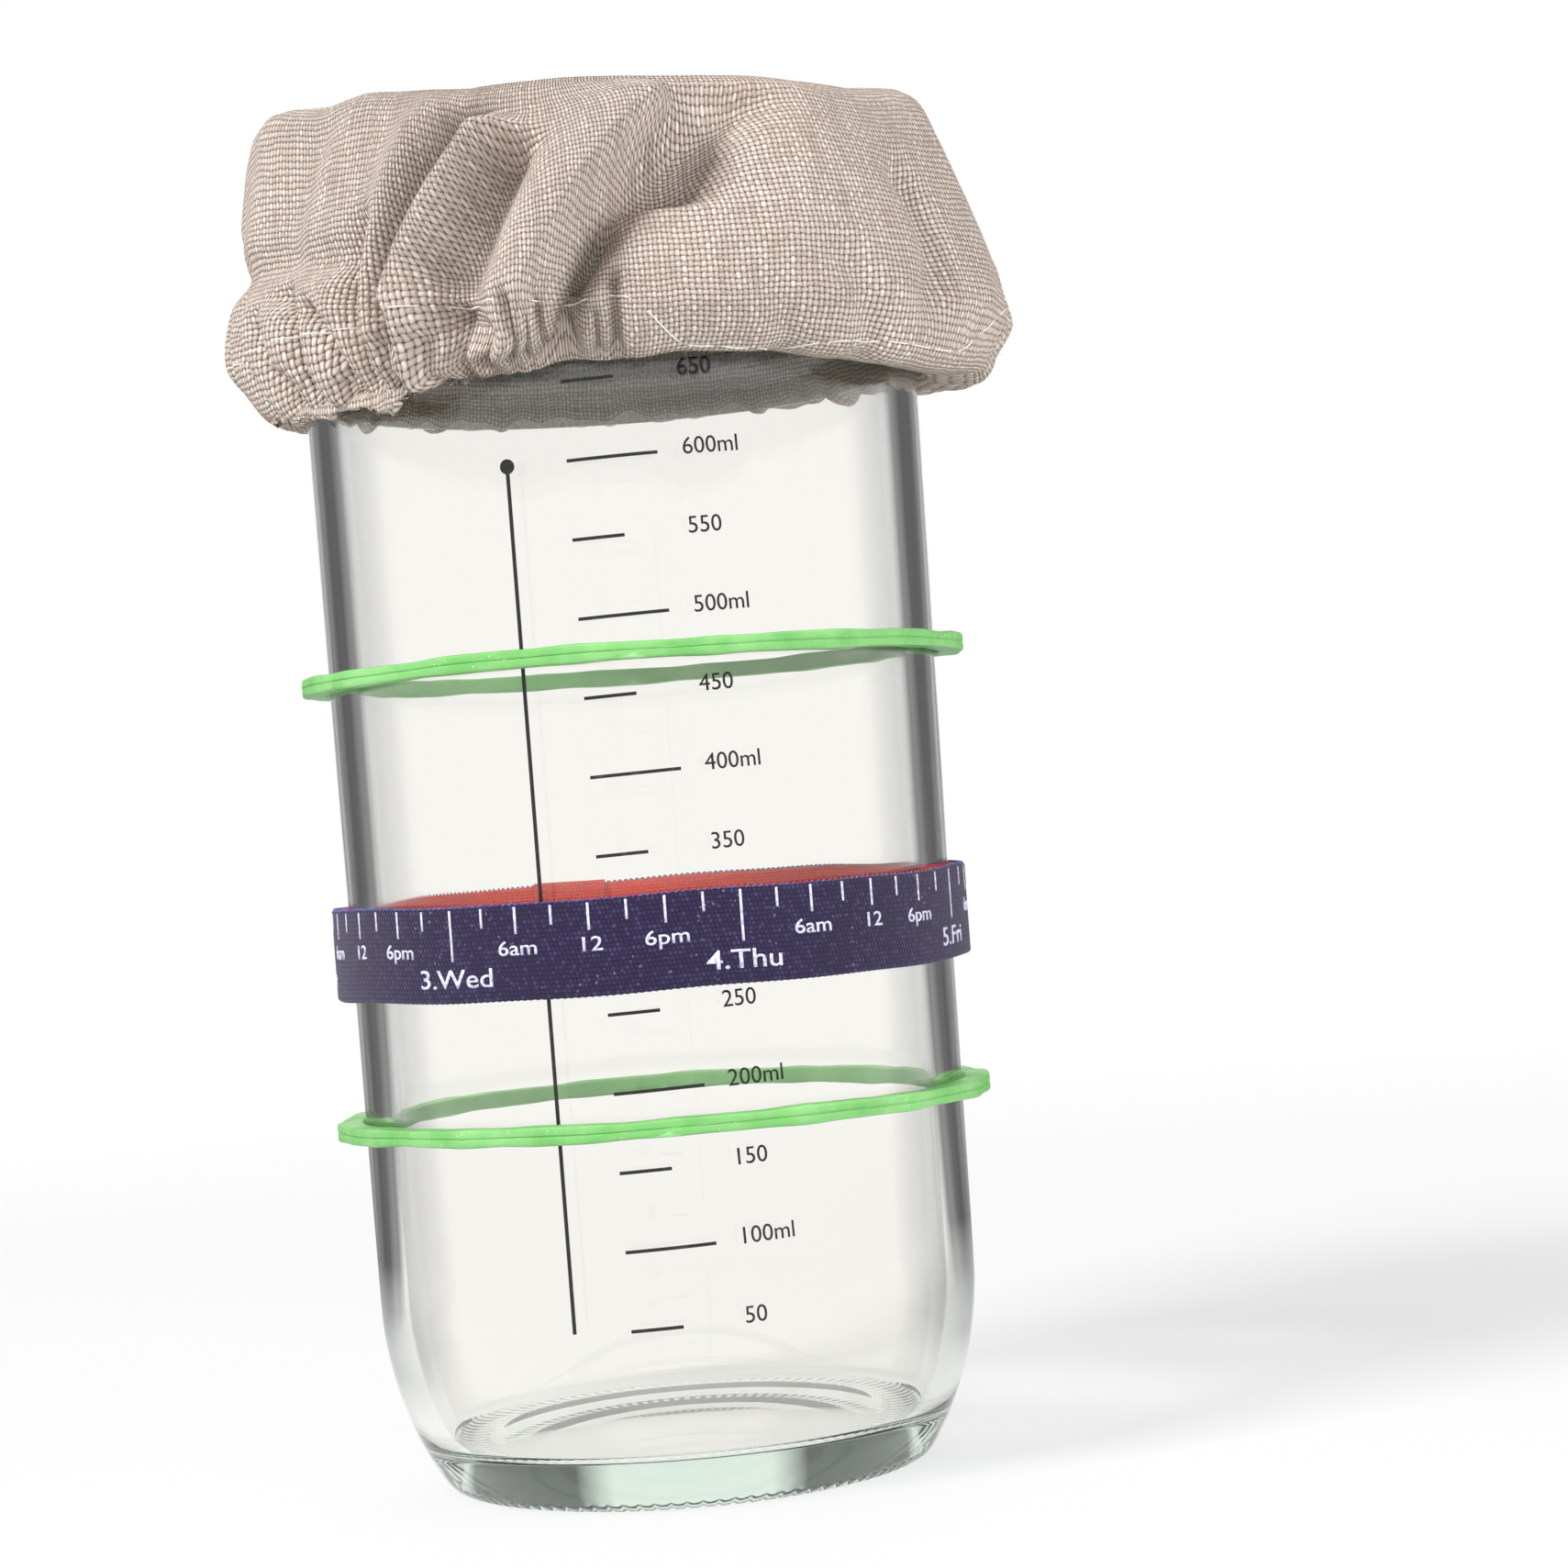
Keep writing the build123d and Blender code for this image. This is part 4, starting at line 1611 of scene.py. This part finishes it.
    def add_thread_map(self, bm: Mesh, points: np.ndarray, azimuth: np.ndarray, path: np.ndarray) -> None:
        """Gives the cloth a UV map that counts its threads.

        Args:
            bm: The cloth.
            points: Its points.
            azimuth: Their azimuths before folding, in degrees.
            path: How far along the cloth they lie.
        """
        layer = bm.loops.layers.uv.new("threads")
        counts, whole = self.thread_counts(points, azimuth, path)
        for face in bm.faces:
            places = [loop.vert.index for loop in face.loops]
            crown = path[places].mean() < self.crown_weave_radius
            wraps = np.ptp(azimuth[places]) > 180
            for loop, number in zip(face.loops, places):
                if crown:
                    flat = at_azimuth(azimuth[number], path[number], 0.0) / self.thread_pitch
                    loop[layer].uv = (flat.x, flat.y)
                else:
                    turn = whole if wraps and azimuth[number] < 0 else 0.0
                    loop[layer].uv = (counts[number] + turn, -path[number] / self.thread_pitch)

    def build_cloth(self, finishes: Finishes) -> tuple[bpy.types.Object, BVHTree]:
        """Spins the cloth's section, folds it and gives it its thickness.

        Args:
            finishes: The jar's materials.

        Returns:
            The cloth, and a tree for finding points on its outer side.
        """
        rows = self.row_paths()
        section = list(zip(np.interp(rows, self.path, self.radii), np.interp(rows, self.path, self.heights)))
        bm = turned(section, self.turn_steps, closed=False)
        if next(f for f in bm.faces if f.calc_center_median().z > self.rim_height).normal.z < 0:
            bmesh.ops.reverse_faces(bm, faces=bm.faces)
        points = to_array(bm)
        radius = np.hypot(points[:, 0], points[:, 1])
        azimuth = np.degrees(np.arctan2(points[:, 0], -points[:, 1]))
        known = np.array(section)
        spots = zip(radius, points[:, 2])
        nearest = [int(np.argmin((known[:, 0] - r) ** 2 + (known[:, 1] - z) ** 2)) for r, z in spots]
        path = rows[nearest]
        azimuth -= np.degrees(self.bunching * np.sin(np.radians(azimuth - self.bunching_azimuth)))
        azimuth = (azimuth + 180) % 360 - 180
        points = self.shape(azimuth, path)
        from_array(bm, points)
        bm.verts.index_update()
        self.add_thread_map(bm, points, azimuth, path)
        bm.normal_update()
        tree = BVHTree.FromBMesh(bm)
        cloth = make_piece(bm, "linen_cover", Body.COVER, finishes.linen, ["cloth_cover"])
        wall = cloth.modifiers.new("thickness", "SOLIDIFY")
        wall.thickness = self.thickness * MM
        wall.offset = -1.0
        wall.use_even_offset = False
        return cloth, tree

    def on_cloth(self, tree: BVHTree, azimuth: float, height: float, stand: float) -> Vector | None:
        """The point on the cloth's outer side at an azimuth and height.

        Args:
            tree: The cloth's tree.
            azimuth: Azimuth in degrees.
            height: Height in millimetres.
            stand: How far the point stands off the cloth.

        Returns:
            The point, or nothing where there is no cloth.
        """
        start = at_azimuth(azimuth, 80.0, height)
        inward = at_azimuth(azimuth, -1.0, 0.0)
        spot, normal, _, _ = tree.ray_cast(start, inward)
        return None if spot is None else spot + normal * stand

    def build_stitching(self, finishes: Finishes, tree: BVHTree) -> bpy.types.Object:
        """Sews the thread that closes the hem: long loose stitches that dip into the cloth between.

        Args:
            finishes: The jar's materials.
            tree: The cloth's tree.

        Returns:
            The thread.
        """
        chance = random.Random(self.seed + 1)
        last = self.stitch_points - 1
        lines = []
        azimuth = -180.0
        while azimuth < 180.0:
            span = chance.uniform(*self.stitch_spans)
            line = []
            for part in range(self.stitch_points):
                turn = azimuth + span * part / last
                settle = ease(1.0, 12.0, turn) * ease(80.0, 60.0, turn)
                height = self.stitch_height + self.back_stitch_rise - self.back_stitch_rise * settle
                height += self.stitch_sway * math.sin(math.radians(turn * self.stitch_waves))
                arch = self.stitch_arch * math.sin(math.pi * part / last) - self.stitch_sink
                spot = self.on_cloth(tree, turn, height, arch)
                if spot is not None:
                    line.append(spot)
            if len(line) > 3:
                lines.append(line)
            azimuth += span + chance.uniform(*self.stitch_gaps)
        bm = threads(lines, self.stitch_thickness)
        return make_piece(bm, "hem_thread", Body.COVER, finishes.thread, ["hem_stitching"])

    def build_fibres(self, finishes: Finishes, tree: BVHTree) -> bpy.types.Object:
        """Scatters loose fibres over the cloth, thickest along its hem.

        Args:
            finishes: The jar's materials.
            tree: The cloth's tree.

        Returns:
            The fibres.
        """
        chance = random.Random(self.seed + 2)
        lines = []
        for count in range(self.fibre_count):
            azimuth = chance.uniform(-180, 180)
            height = chance.uniform(*(self.hem_fibres if count % 3 else self.side_fibres))
            foot = self.on_cloth(tree, azimuth, height, -self.fibre_sink)
            if foot is None:
                continue
            outward = at_azimuth(azimuth, 1.0, 0.0)
            drift = Vector([chance.uniform(-1, 1) for _ in range(3)])
            length = chance.uniform(*self.fibre_lengths)
            middle = foot + (outward * 0.4 + drift * 0.5) * length * 0.5
            end = middle + (outward * chance.uniform(-0.2, 0.35) + drift * 0.6) * length * 0.6
            lines.append([foot, middle, end])
        bm = threads(lines, self.fibre_thickness, 0)
        return make_piece(bm, "loose_fibres", Body.COVER, finishes.fibre)

    def build(self, finishes: Finishes) -> None:
        """Makes the cloth, its thread and its loose fibres, and finishes the hidden elastic.

        Args:
            finishes: The jar's materials.
        """
        cloth, tree = self.build_cloth(finishes)
        stitching = self.build_stitching(finishes, tree)
        fibres = self.build_fibres(finishes, tree)
        give_finish("cover_elastic", finishes.elastic)


@dataclass
class DayBand:
    """The woven band that counts the days, with its lining, lap, ticks and labels."""

    low: float = 70.0
    width: float = 12.6
    lap_radius: float = 43.19
    lining_radius: float = 43.79
    face_radius: float = 44.29
    face: float = 0.9
    lap_length: float = 12.0
    lap_rise: float = 0.5
    lap_azimuth: float = -162.5
    back_lift: float = 0.5
    ripple: float = 0.12
    ripple_phase: float = 0.6
    slow_ripples: int = 5
    quick_ripples: int = 11
    quick_share: float = 0.6
    turn_steps: int = 360
    first_day_tick: float = 15.2
    days: tuple[str, ...] = ("4.Thu", "5.Fri", "6.Sat", "7.Sun", "1.Mon", "2.Tue", "3.Wed")
    hours: tuple[str, ...] = ("", "", "6am", "", "12", "", "6pm", "")
    face_bend: float = 0.3
    lining_bend: float = 0.15
    lap_bend: float = 0.2
    overlap: float = 0.02
    loop_count: int = 300
    upper_loop: float = 0.45
    lower_loop: float = 0.2
    loop_lean: float = 0.12
    loop_root: float = 0.6
    loop_fill: float = 0.9
    loop_sink: float = 0.1
    loop_foot: float = 0.3
    loop_tip: float = 0.7
    loop_outs: tuple[float, ...] = (0.25, 0.1, -0.1, -0.3)
    loop_thickness: float = 0.26
    lap_steps: int = 24
    stitch_rows: int = 9
    stitch_columns: tuple[float, ...] = (-0.38, 0.0, 0.38)
    stitch_slant: float = 0.5
    stitch_rise: float = 0.5
    stitch_margin: float = 0.9
    stitch_thickness: float = 0.22
    day_tick: float = 6.8
    label_tick: float = 3.6
    plain_tick: float = 2.6
    tick_width: float = 0.34
    tick_depth: float = 0.14
    tick_drop: float = 0.25
    day_drop: float = 10.6
    hour_drop: float = 6.6
    day_height: float = 2.6
    hour_height: float = 1.95
    letter_stretch: float = 1.28
    letter_weight: float = 0.02
    letter_depth: float = 0.07

    def settle(self, bm: Mesh) -> None:
        """Gives a part of the band the slow waves of soft tape, and its higher back.

        Args:
            bm: The part, in millimetres.
        """
        points = to_array(bm)
        turn = np.arctan2(points[:, 0], -points[:, 1])
        points[:, 2] += self.back_lift * (1 - np.cos(turn))
        slow = np.sin(turn * self.slow_ripples + self.ripple_phase)
        points[:, 2] += self.ripple * (slow + self.quick_share * np.sin(turn * self.quick_ripples))
        from_array(bm, points)

    def loop(self, inside: float, outside: float, bend: float, rows: int) -> Mesh:
        """A ring of tape with rounded edges, in rows from bottom to top.

        Args:
            inside: Its inner radius.
            outside: Its outer radius.
            bend: How far back its edges' rounding starts.
            rows: How many lines of points its outer side has between its edges.

        Returns:
            The mesh, in millimetres.
        """
        top = self.low + self.width
        middle = [(outside, self.low + self.width * (row + 1) / (rows + 1), 0.0) for row in range(rows)]
        corners = [
            (inside, (self.low + top) / 2, 0.0),
            (inside, self.low, bend),
            (outside, self.low, bend),
            *middle,
            (outside, top, bend),
            (inside, top, bend),
            (inside, (self.low + top) / 2 + SEAM, 0.0),
        ]
        return turned(rounded(corners, 3), self.turn_steps)

    def build_face(self, finishes: Finishes) -> None:
        """Weaves the navy face and its looped edges.

        Args:
            finishes: The jar's materials.
        """
        bm = self.loop(self.face_radius, self.face_radius + self.face, self.face_bend, 6)
        wrap_uv(bm, self.face_radius + self.face)
        self.settle(bm)
        make_piece(bm, "band_face", Body.BAND, finishes.navy, ["day_band"])
        loops = []
        radius = self.face_radius + self.face * self.loop_root
        half = 180 / self.loop_count * self.loop_fill
        near = half * self.loop_tip
        edges = (
            (self.low + self.width - self.loop_sink, 1.0, self.upper_loop),
            (self.low + self.loop_sink, -1.0, self.lower_loop),
        )
        for edge, side, size in edges:
            foot = edge - self.loop_foot * side
            tip = edge + size * side
            section = tuple(zip(self.loop_outs, (foot, tip, tip, foot)))
            for number in range(self.loop_count):
                turn = 360 * number / self.loop_count
                lean = self.loop_lean if number % 2 else -self.loop_lean
                turns = (turn - half, turn - near, turn + near + lean, turn + half)
                loops.append([at_azimuth(at, radius + out, up) for at, (out, up) in zip(turns, section)])
        bm = threads(loops, self.loop_thickness, 0)
        self.settle(bm)
        make_piece(bm, "band_edge_loops", Body.BAND, finishes.loop)

    def build_lining(self, finishes: Finishes) -> None:
        """Makes the red lining, the lap inside it and the lap's stitches.

        Args:
            finishes: The jar's materials.
        """
        bm = self.loop(self.lining_radius, self.face_radius - self.overlap, self.lining_bend, 4)
        wrap_uv(bm, self.lining_radius)
        self.settle(bm)
        make_piece(bm, "band_red_lining", Body.BAND, finishes.red, ["band_lining"])
        span = math.degrees(self.lap_length / self.lap_radius)
        top = self.low + self.width + self.lap_rise
        outside = self.lining_radius - self.overlap
        corners = [
            (self.lap_radius, (self.low + top) / 2, 0.0),
            (self.lap_radius, self.low, self.lap_bend),
            (outside, self.low, self.lap_bend),
            (outside, top, self.lap_bend),
            (self.lap_radius, top, self.lap_bend),
            (self.lap_radius, (self.low + top) / 2 + SEAM, 0.0),
        ]
        bm = turned(rounded(corners, 3), self.lap_steps, angle=span)
        turn = math.radians(self.lap_azimuth - span / 2)
        bmesh.ops.rotate(bm, cent=(0, 0, 0), matrix=Matrix.Rotation(turn, 3, "Z"), verts=bm.verts)
        wrap_uv(bm, self.lap_radius)
        self.settle(bm)
        make_piece(bm, "band_lap_end", Body.BAND, finishes.red, ["band_lap"])
        lines = []
        margin = self.stitch_margin
        for side in self.stitch_columns:
            for row in range(self.stitch_rows):
                low = self.low + margin + row * (self.width - margin * 2) / self.stitch_rows
                azimuth = self.lap_azimuth + span * side
                slant = self.stitch_slant if row % 2 else -self.stitch_slant
                for radius in (self.lap_radius - self.overlap, self.face_radius + self.face + self.overlap):
                    lines.append(
                        [
                            at_azimuth(azimuth - slant, radius, low),
                            at_azimuth(azimuth, radius, low + self.stitch_rise),
                            at_azimuth(azimuth + slant, radius, low + self.stitch_rise * 2),
                        ]
                    )
        bm = threads(lines, self.stitch_thickness)
        self.settle(bm)
        make_piece(bm, "lap_thread", Body.BAND, finishes.red_thread, ["lap_stitching"])

    def build_marks(self, finishes: Finishes) -> None:
        """Weaves the ticks of every third hour, and the names of the hours and days.

        Args:
            finishes: The jar's materials.
        """
        outside = self.face_radius + self.face
        top = self.low + self.width
        day_turn = 360 / len(self.days)
        parts = []
        for day, name in enumerate(self.days):
            for step, hour in enumerate(self.hours):
                azimuth = self.first_day_tick + day_turn * (day + step / len(self.hours))
                tall = self.day_tick if step == 0 else self.label_tick if step % 2 == 0 else self.plain_tick
                tick = bmesh.new()
                bmesh.ops.create_cube(tick, size=1.0)
                bmesh.ops.subdivide_edges(tick, edges=tick.edges, cuts=2, use_grid_fill=True)
                bmesh.ops.scale(tick, vec=(self.tick_width, tall, self.tick_depth), verts=tick.verts)
                bmesh.ops.translate(tick, vec=(0.0, -tall / 2, 0.0), verts=tick.verts)
                wrap_on(tick, azimuth, top - self.tick_drop, lambda _: outside, 0.0)
                parts.append(tick)
                words, size, drop = hour, self.hour_height, self.hour_drop
                if step == 0:
                    words, size, drop = name, self.day_height, self.day_drop
                if words:
                    letters = lettering(words, size, self.letter_weight, self.letter_depth)
                    bmesh.ops.scale(letters, vec=(self.letter_stretch, 1.0, 1.0), verts=letters.verts)
                    reach = max(v.co.x for v in letters.verts) / 2
                    bmesh.ops.translate(letters, vec=(-reach, 0.0, 0.0), verts=letters.verts)
                    wrap_on(letters, azimuth, top - drop, lambda _: outside, 0.0)
                    parts.append(letters)
        bm = join(parts)
        self.settle(bm)
        make_piece(bm, "band_marks", Body.BAND, finishes.label)

    def build(self, finishes: Finishes) -> None:
        """Makes the whole band.

        Args:
            finishes: The jar's materials.
        """
        self.build_face(finishes)
        self.build_lining(finishes)
        self.build_marks(finishes)


@dataclass
class LevelRing:
    """A rubber ring that marks how high the starter stood."""

    body: Body
    node: str
    name: str
    seed: int
    turn_steps: int = 300
    width: float = 3.3
    bend: float = 0.45
    crease: float = 0.22
    crease_half: float = 0.12
    crease_bend: float = 0.1
    sway: float = 0.1
    rise: float = 0.45
    sways: tuple[Point, ...] = ((1.0, 2), (0.7, 5), (0.4, 13))
    swells: tuple[Point, ...] = ((0.1, 7), (0.09, 17), (0.05, 31))
    swell_out: float = 1.6
    swell_up: float = 0.5

    def build(self, finishes: Finishes) -> None:
        """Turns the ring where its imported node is, then makes it as uneven as cut rubber.

        Args:
            finishes: The jar's materials.
        """
        low, high = (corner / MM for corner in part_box(self.node))
        outside = high.x
        inside = outside - self.width
        core = outside - self.width / 2
        middle = (low.z + high.z) / 2
        half = (high.z - low.z) / 2
        corners = [
            (inside, middle, 0.0),
            (inside, middle - half, self.bend),
            (core, middle - half, 0.0),
            (outside, middle - half, self.bend),
            (outside, middle - half * self.crease_half, self.crease_bend),
            (outside - self.crease, middle, self.crease_bend),
            (outside, middle + half * self.crease_half, self.crease_bend),
            (outside, middle + half, self.bend),
            (core, middle + half, 0.0),
            (inside, middle + half, self.bend),
            (inside, middle + SEAM, 0.0),
        ]
        bm = turned(rounded(corners, 3), self.turn_steps)
        points = to_array(bm)
        turn = np.arctan2(points[:, 0], -points[:, 1])
        radius = np.hypot(points[:, 0], points[:, 1])
        chance = random.Random(self.seed)
        waves = (*self.sways, *self.swells)
        phases = [chance.uniform(0, math.tau) for _ in waves]
        curves = [size * np.sin(count * turn + phase) for (size, count), phase in zip(waves, phases)]
        sway = sum(curves[: len(self.sways)])
        swell = sum(curves[len(self.sways) :])
        from_inside = (radius - inside) / self.width
        grown = radius + np.clip(from_inside, 0, 1) * swell * self.swell_out
        scale = grown / radius
        points[:, 0] *= scale
        points[:, 1] *= scale
        points[:, 2] += self.rise + self.sway * sway + (points[:, 2] - middle) * swell * self.swell_up
        from_array(bm, points)
        make_piece(bm, self.name, self.body, finishes.rubber, [self.node])


@dataclass(frozen=True)
class Lamp:
    """A soft square lamp: its name, its place in metres, the length of its side and its power in watts."""

    name: str
    place: tuple[float, float, float]
    size: float
    power: float


@dataclass
class Studio:
    """The camera, floor, lamps and surroundings."""

    lamps: tuple[Lamp, ...] = (
        Lamp("key", (-0.60, -0.50, 0.82), 0.3, 13.0),
        Lamp("fill", (0.85, -0.40, 0.24), 0.6, 7.0),
        Lamp("low", (0.05, -0.60, 0.03), 0.4, 1.4),
        Lamp("back", (0.1, 0.8, 0.7), 0.7, 3.5),
    )
    aim: tuple[float, float, float] = (0.0, 0.0, 0.11)
    eye: tuple[float, float, float] = (0.0, -0.520, 0.0908)
    yaw: float = 2.244
    pitch: float = 0.600
    roll: float = -4.290
    lens: float = 83.33
    sensor: float = 36.0
    ambient: float = 0.40
    floor_radius: float = 6.0
    floor_colour: Colour = (216, 216, 216)
    lift_near: float = 0.45
    lift_reach: tuple[float, float] = (0.12, 0.7)
    screen_reach: tuple[float, float] = (0.13, 0.30)
    screen_start: float = 11.0
    screen_end: float = 46.0
    screen_fade: float = 6.0
    screen_light: float = 0.15

    def add_camera(self) -> None:
        """Stands the camera where the photograph was taken from."""
        yaw, pitch, roll = (math.radians(angle) for angle in (self.yaw, self.pitch, self.roll))
        ahead = Vector((math.cos(pitch) * math.sin(yaw), math.cos(pitch) * math.cos(yaw), math.sin(pitch)))
        level = Vector((math.cos(yaw), -math.sin(yaw), 0.0))
        upright = level.cross(ahead)
        right = math.cos(roll) * level + math.sin(roll) * upright
        up = -math.sin(roll) * level + math.cos(roll) * upright
        turn = Matrix((right, up, -ahead)).transposed()
        data = bpy.data.cameras.new("camera")
        data.lens = self.lens
        data.sensor_width = self.sensor
        camera = bpy.data.objects.new("camera", data)
        camera.matrix_world = Matrix.Translation(self.eye) @ turn.to_4x4()
        bpy.context.scene.collection.objects.link(camera)
        bpy.context.scene.camera = camera

    def on_screens(self, graph: Graph, place: Socket) -> Socket:
        """Where the dark screens stand that draw the glass's edges: behind the jar, left and right.

        Only light that the glass has mirrored, outside or inside its wall, comes from them, so that what
        is seen straight through the jar stays pale from every side.

        Args:
            graph: The graph to build in.
            place: A place or a direction, as seen from the jar.

        Returns:
            1 on the screens and 0 everywhere else.
        """
        level = graph.vector("NORMALIZE", graph.vector("MULTIPLY", place, LEVEL))
        behind = graph.add("SeparateXYZ", {0: level}).outputs["Y"]
        fade = self.screen_fade
        turns = (self.screen_start, self.screen_start + fade, self.screen_end, self.screen_end + fade)
        start, full, last, end = (math.cos(math.radians(turn)) for turn in turns)
        beside = graph.between(behind, full, start, 1.0, 0.0)
        beside = graph.math("MULTIPLY", beside, graph.between(behind, end, last))
        path = graph.add("LightPath").outputs
        first = graph.math("LESS_THAN", path["Diffuse Depth"], 0.5)
        mirrored = graph.math("GREATER_THAN", path["Glossy Depth"], 0.5)
        return graph.math("MULTIPLY", beside, graph.math("MULTIPLY", first, mirrored))

    def add_floor(self) -> None:
        """Lays the pale floor, which looks white where no shadow falls."""
        bm = bmesh.new()
        bmesh.ops.create_circle(bm, cap_ends=True, segments=64, radius=self.floor_radius)
        mesh = bpy.data.meshes.new("floor")
        bm.to_mesh(mesh)
        bm.free()
        material, graph = new_material("pale floor")
        matte = graph.add("BsdfDiffuse", {"Color": tint(*self.floor_colour)})
        through = graph.passed_on()
        seen = graph.math("MAXIMUM", graph.add("LightPath").outputs["Is Camera Ray"], through)
        place = graph.add("TexCoord").outputs["Object"]
        away = graph.length(place)
        lift = graph.math("MULTIPLY", seen, graph.between(away, *self.lift_reach, self.lift_near, 1.0))
        shade = graph.math("MULTIPLY", through, graph.between(away, *self.screen_reach))
        shade = graph.math("MULTIPLY", shade, self.on_screens(graph, place))
        glow = graph.add("Emission", {"Color": WHITE, "Strength": 1.0})
        both = graph.add("MixShader", {0: lift, 1: matte.outputs[0], 2: glow.outputs[0]})
        flag = graph.add("Emission", {"Color": WHITE, "Strength": self.screen_light})
        both = graph.add("MixShader", {0: shade, 1: both.outputs[0], 2: flag.outputs[0]})
        close_surface(graph, both.outputs[0])
        mesh.materials.append(material)
        floor = bpy.data.objects.new("floor", mesh)
        bpy.context.scene.collection.objects.link(floor)

    def add_lamp(self, lamp: Lamp) -> None:
        """Hangs a lamp that points at the jar.

        Args:
            lamp: The lamp.
        """
        data = bpy.data.lights.new(lamp.name, "AREA")
        data.size = lamp.size
        data.energy = lamp.power
        hung = bpy.data.objects.new(lamp.name, data)
        aim = Vector(self.aim) - Vector(lamp.place)
        hung.location = lamp.place
        hung.rotation_mode = "QUATERNION"
        hung.rotation_quaternion = aim.to_track_quat("-Z", "Y")
        hung.visible_camera = False
        hung.visible_glossy = False
        hung.visible_transmission = False
        bpy.context.scene.collection.objects.link(hung)

    def add_surroundings(self) -> None:
        """Makes a white room that lights the jar softly."""
        world = bpy.data.worlds.new("white room")
        world.use_nodes = True
        bpy.context.scene.world = world
        graph = Graph(world.node_tree)
        through = graph.passed_on()
        seen = graph.math("MAXIMUM", graph.add("LightPath").outputs["Is Camera Ray"], through)
        strength = graph.between(seen, 0.0, 1.0, self.ambient, 1.0)
        towards = graph.add("TexCoord").outputs["Generated"]
        shade = graph.math("MULTIPLY", through, self.on_screens(graph, towards))
        strength = graph.between(shade, 0.0, 1.0, strength, self.screen_light)
        glow = graph.add("Background", {"Color": WHITE, "Strength": strength})
        graph.add("OutputWorld", {"Surface": glow.outputs[0]})

    def build(self) -> None:
        """Sets up the whole studio."""
        scene = bpy.context.scene
        scene.view_settings.view_transform = "Standard"
        self.add_camera()
        self.add_floor()
        for lamp in self.lamps:
            self.add_lamp(lamp)
        self.add_surroundings()
        log.info("studio: camera %.3f m from the axis", -self.eye[1])


def main() -> None:
    """Builds the studio, then the jar from the glass outwards."""
    logging.basicConfig(level=logging.INFO, format="%(name)s: %(message)s")
    Studio().build()
    finishes = make_finishes()
    GlassJar().build(finishes)
    LinenCover().build(finishes)
    DayBand().build(finishes)
    LevelRing(Body.UPPER_RING, "level_ring_upper", "upper_rubber_ring", 3).build(finishes)
    LevelRing(Body.LOWER_RING, "level_ring_lower", "lower_rubber_ring", 8).build(finishes)


if __name__ == "__main__":
    main()
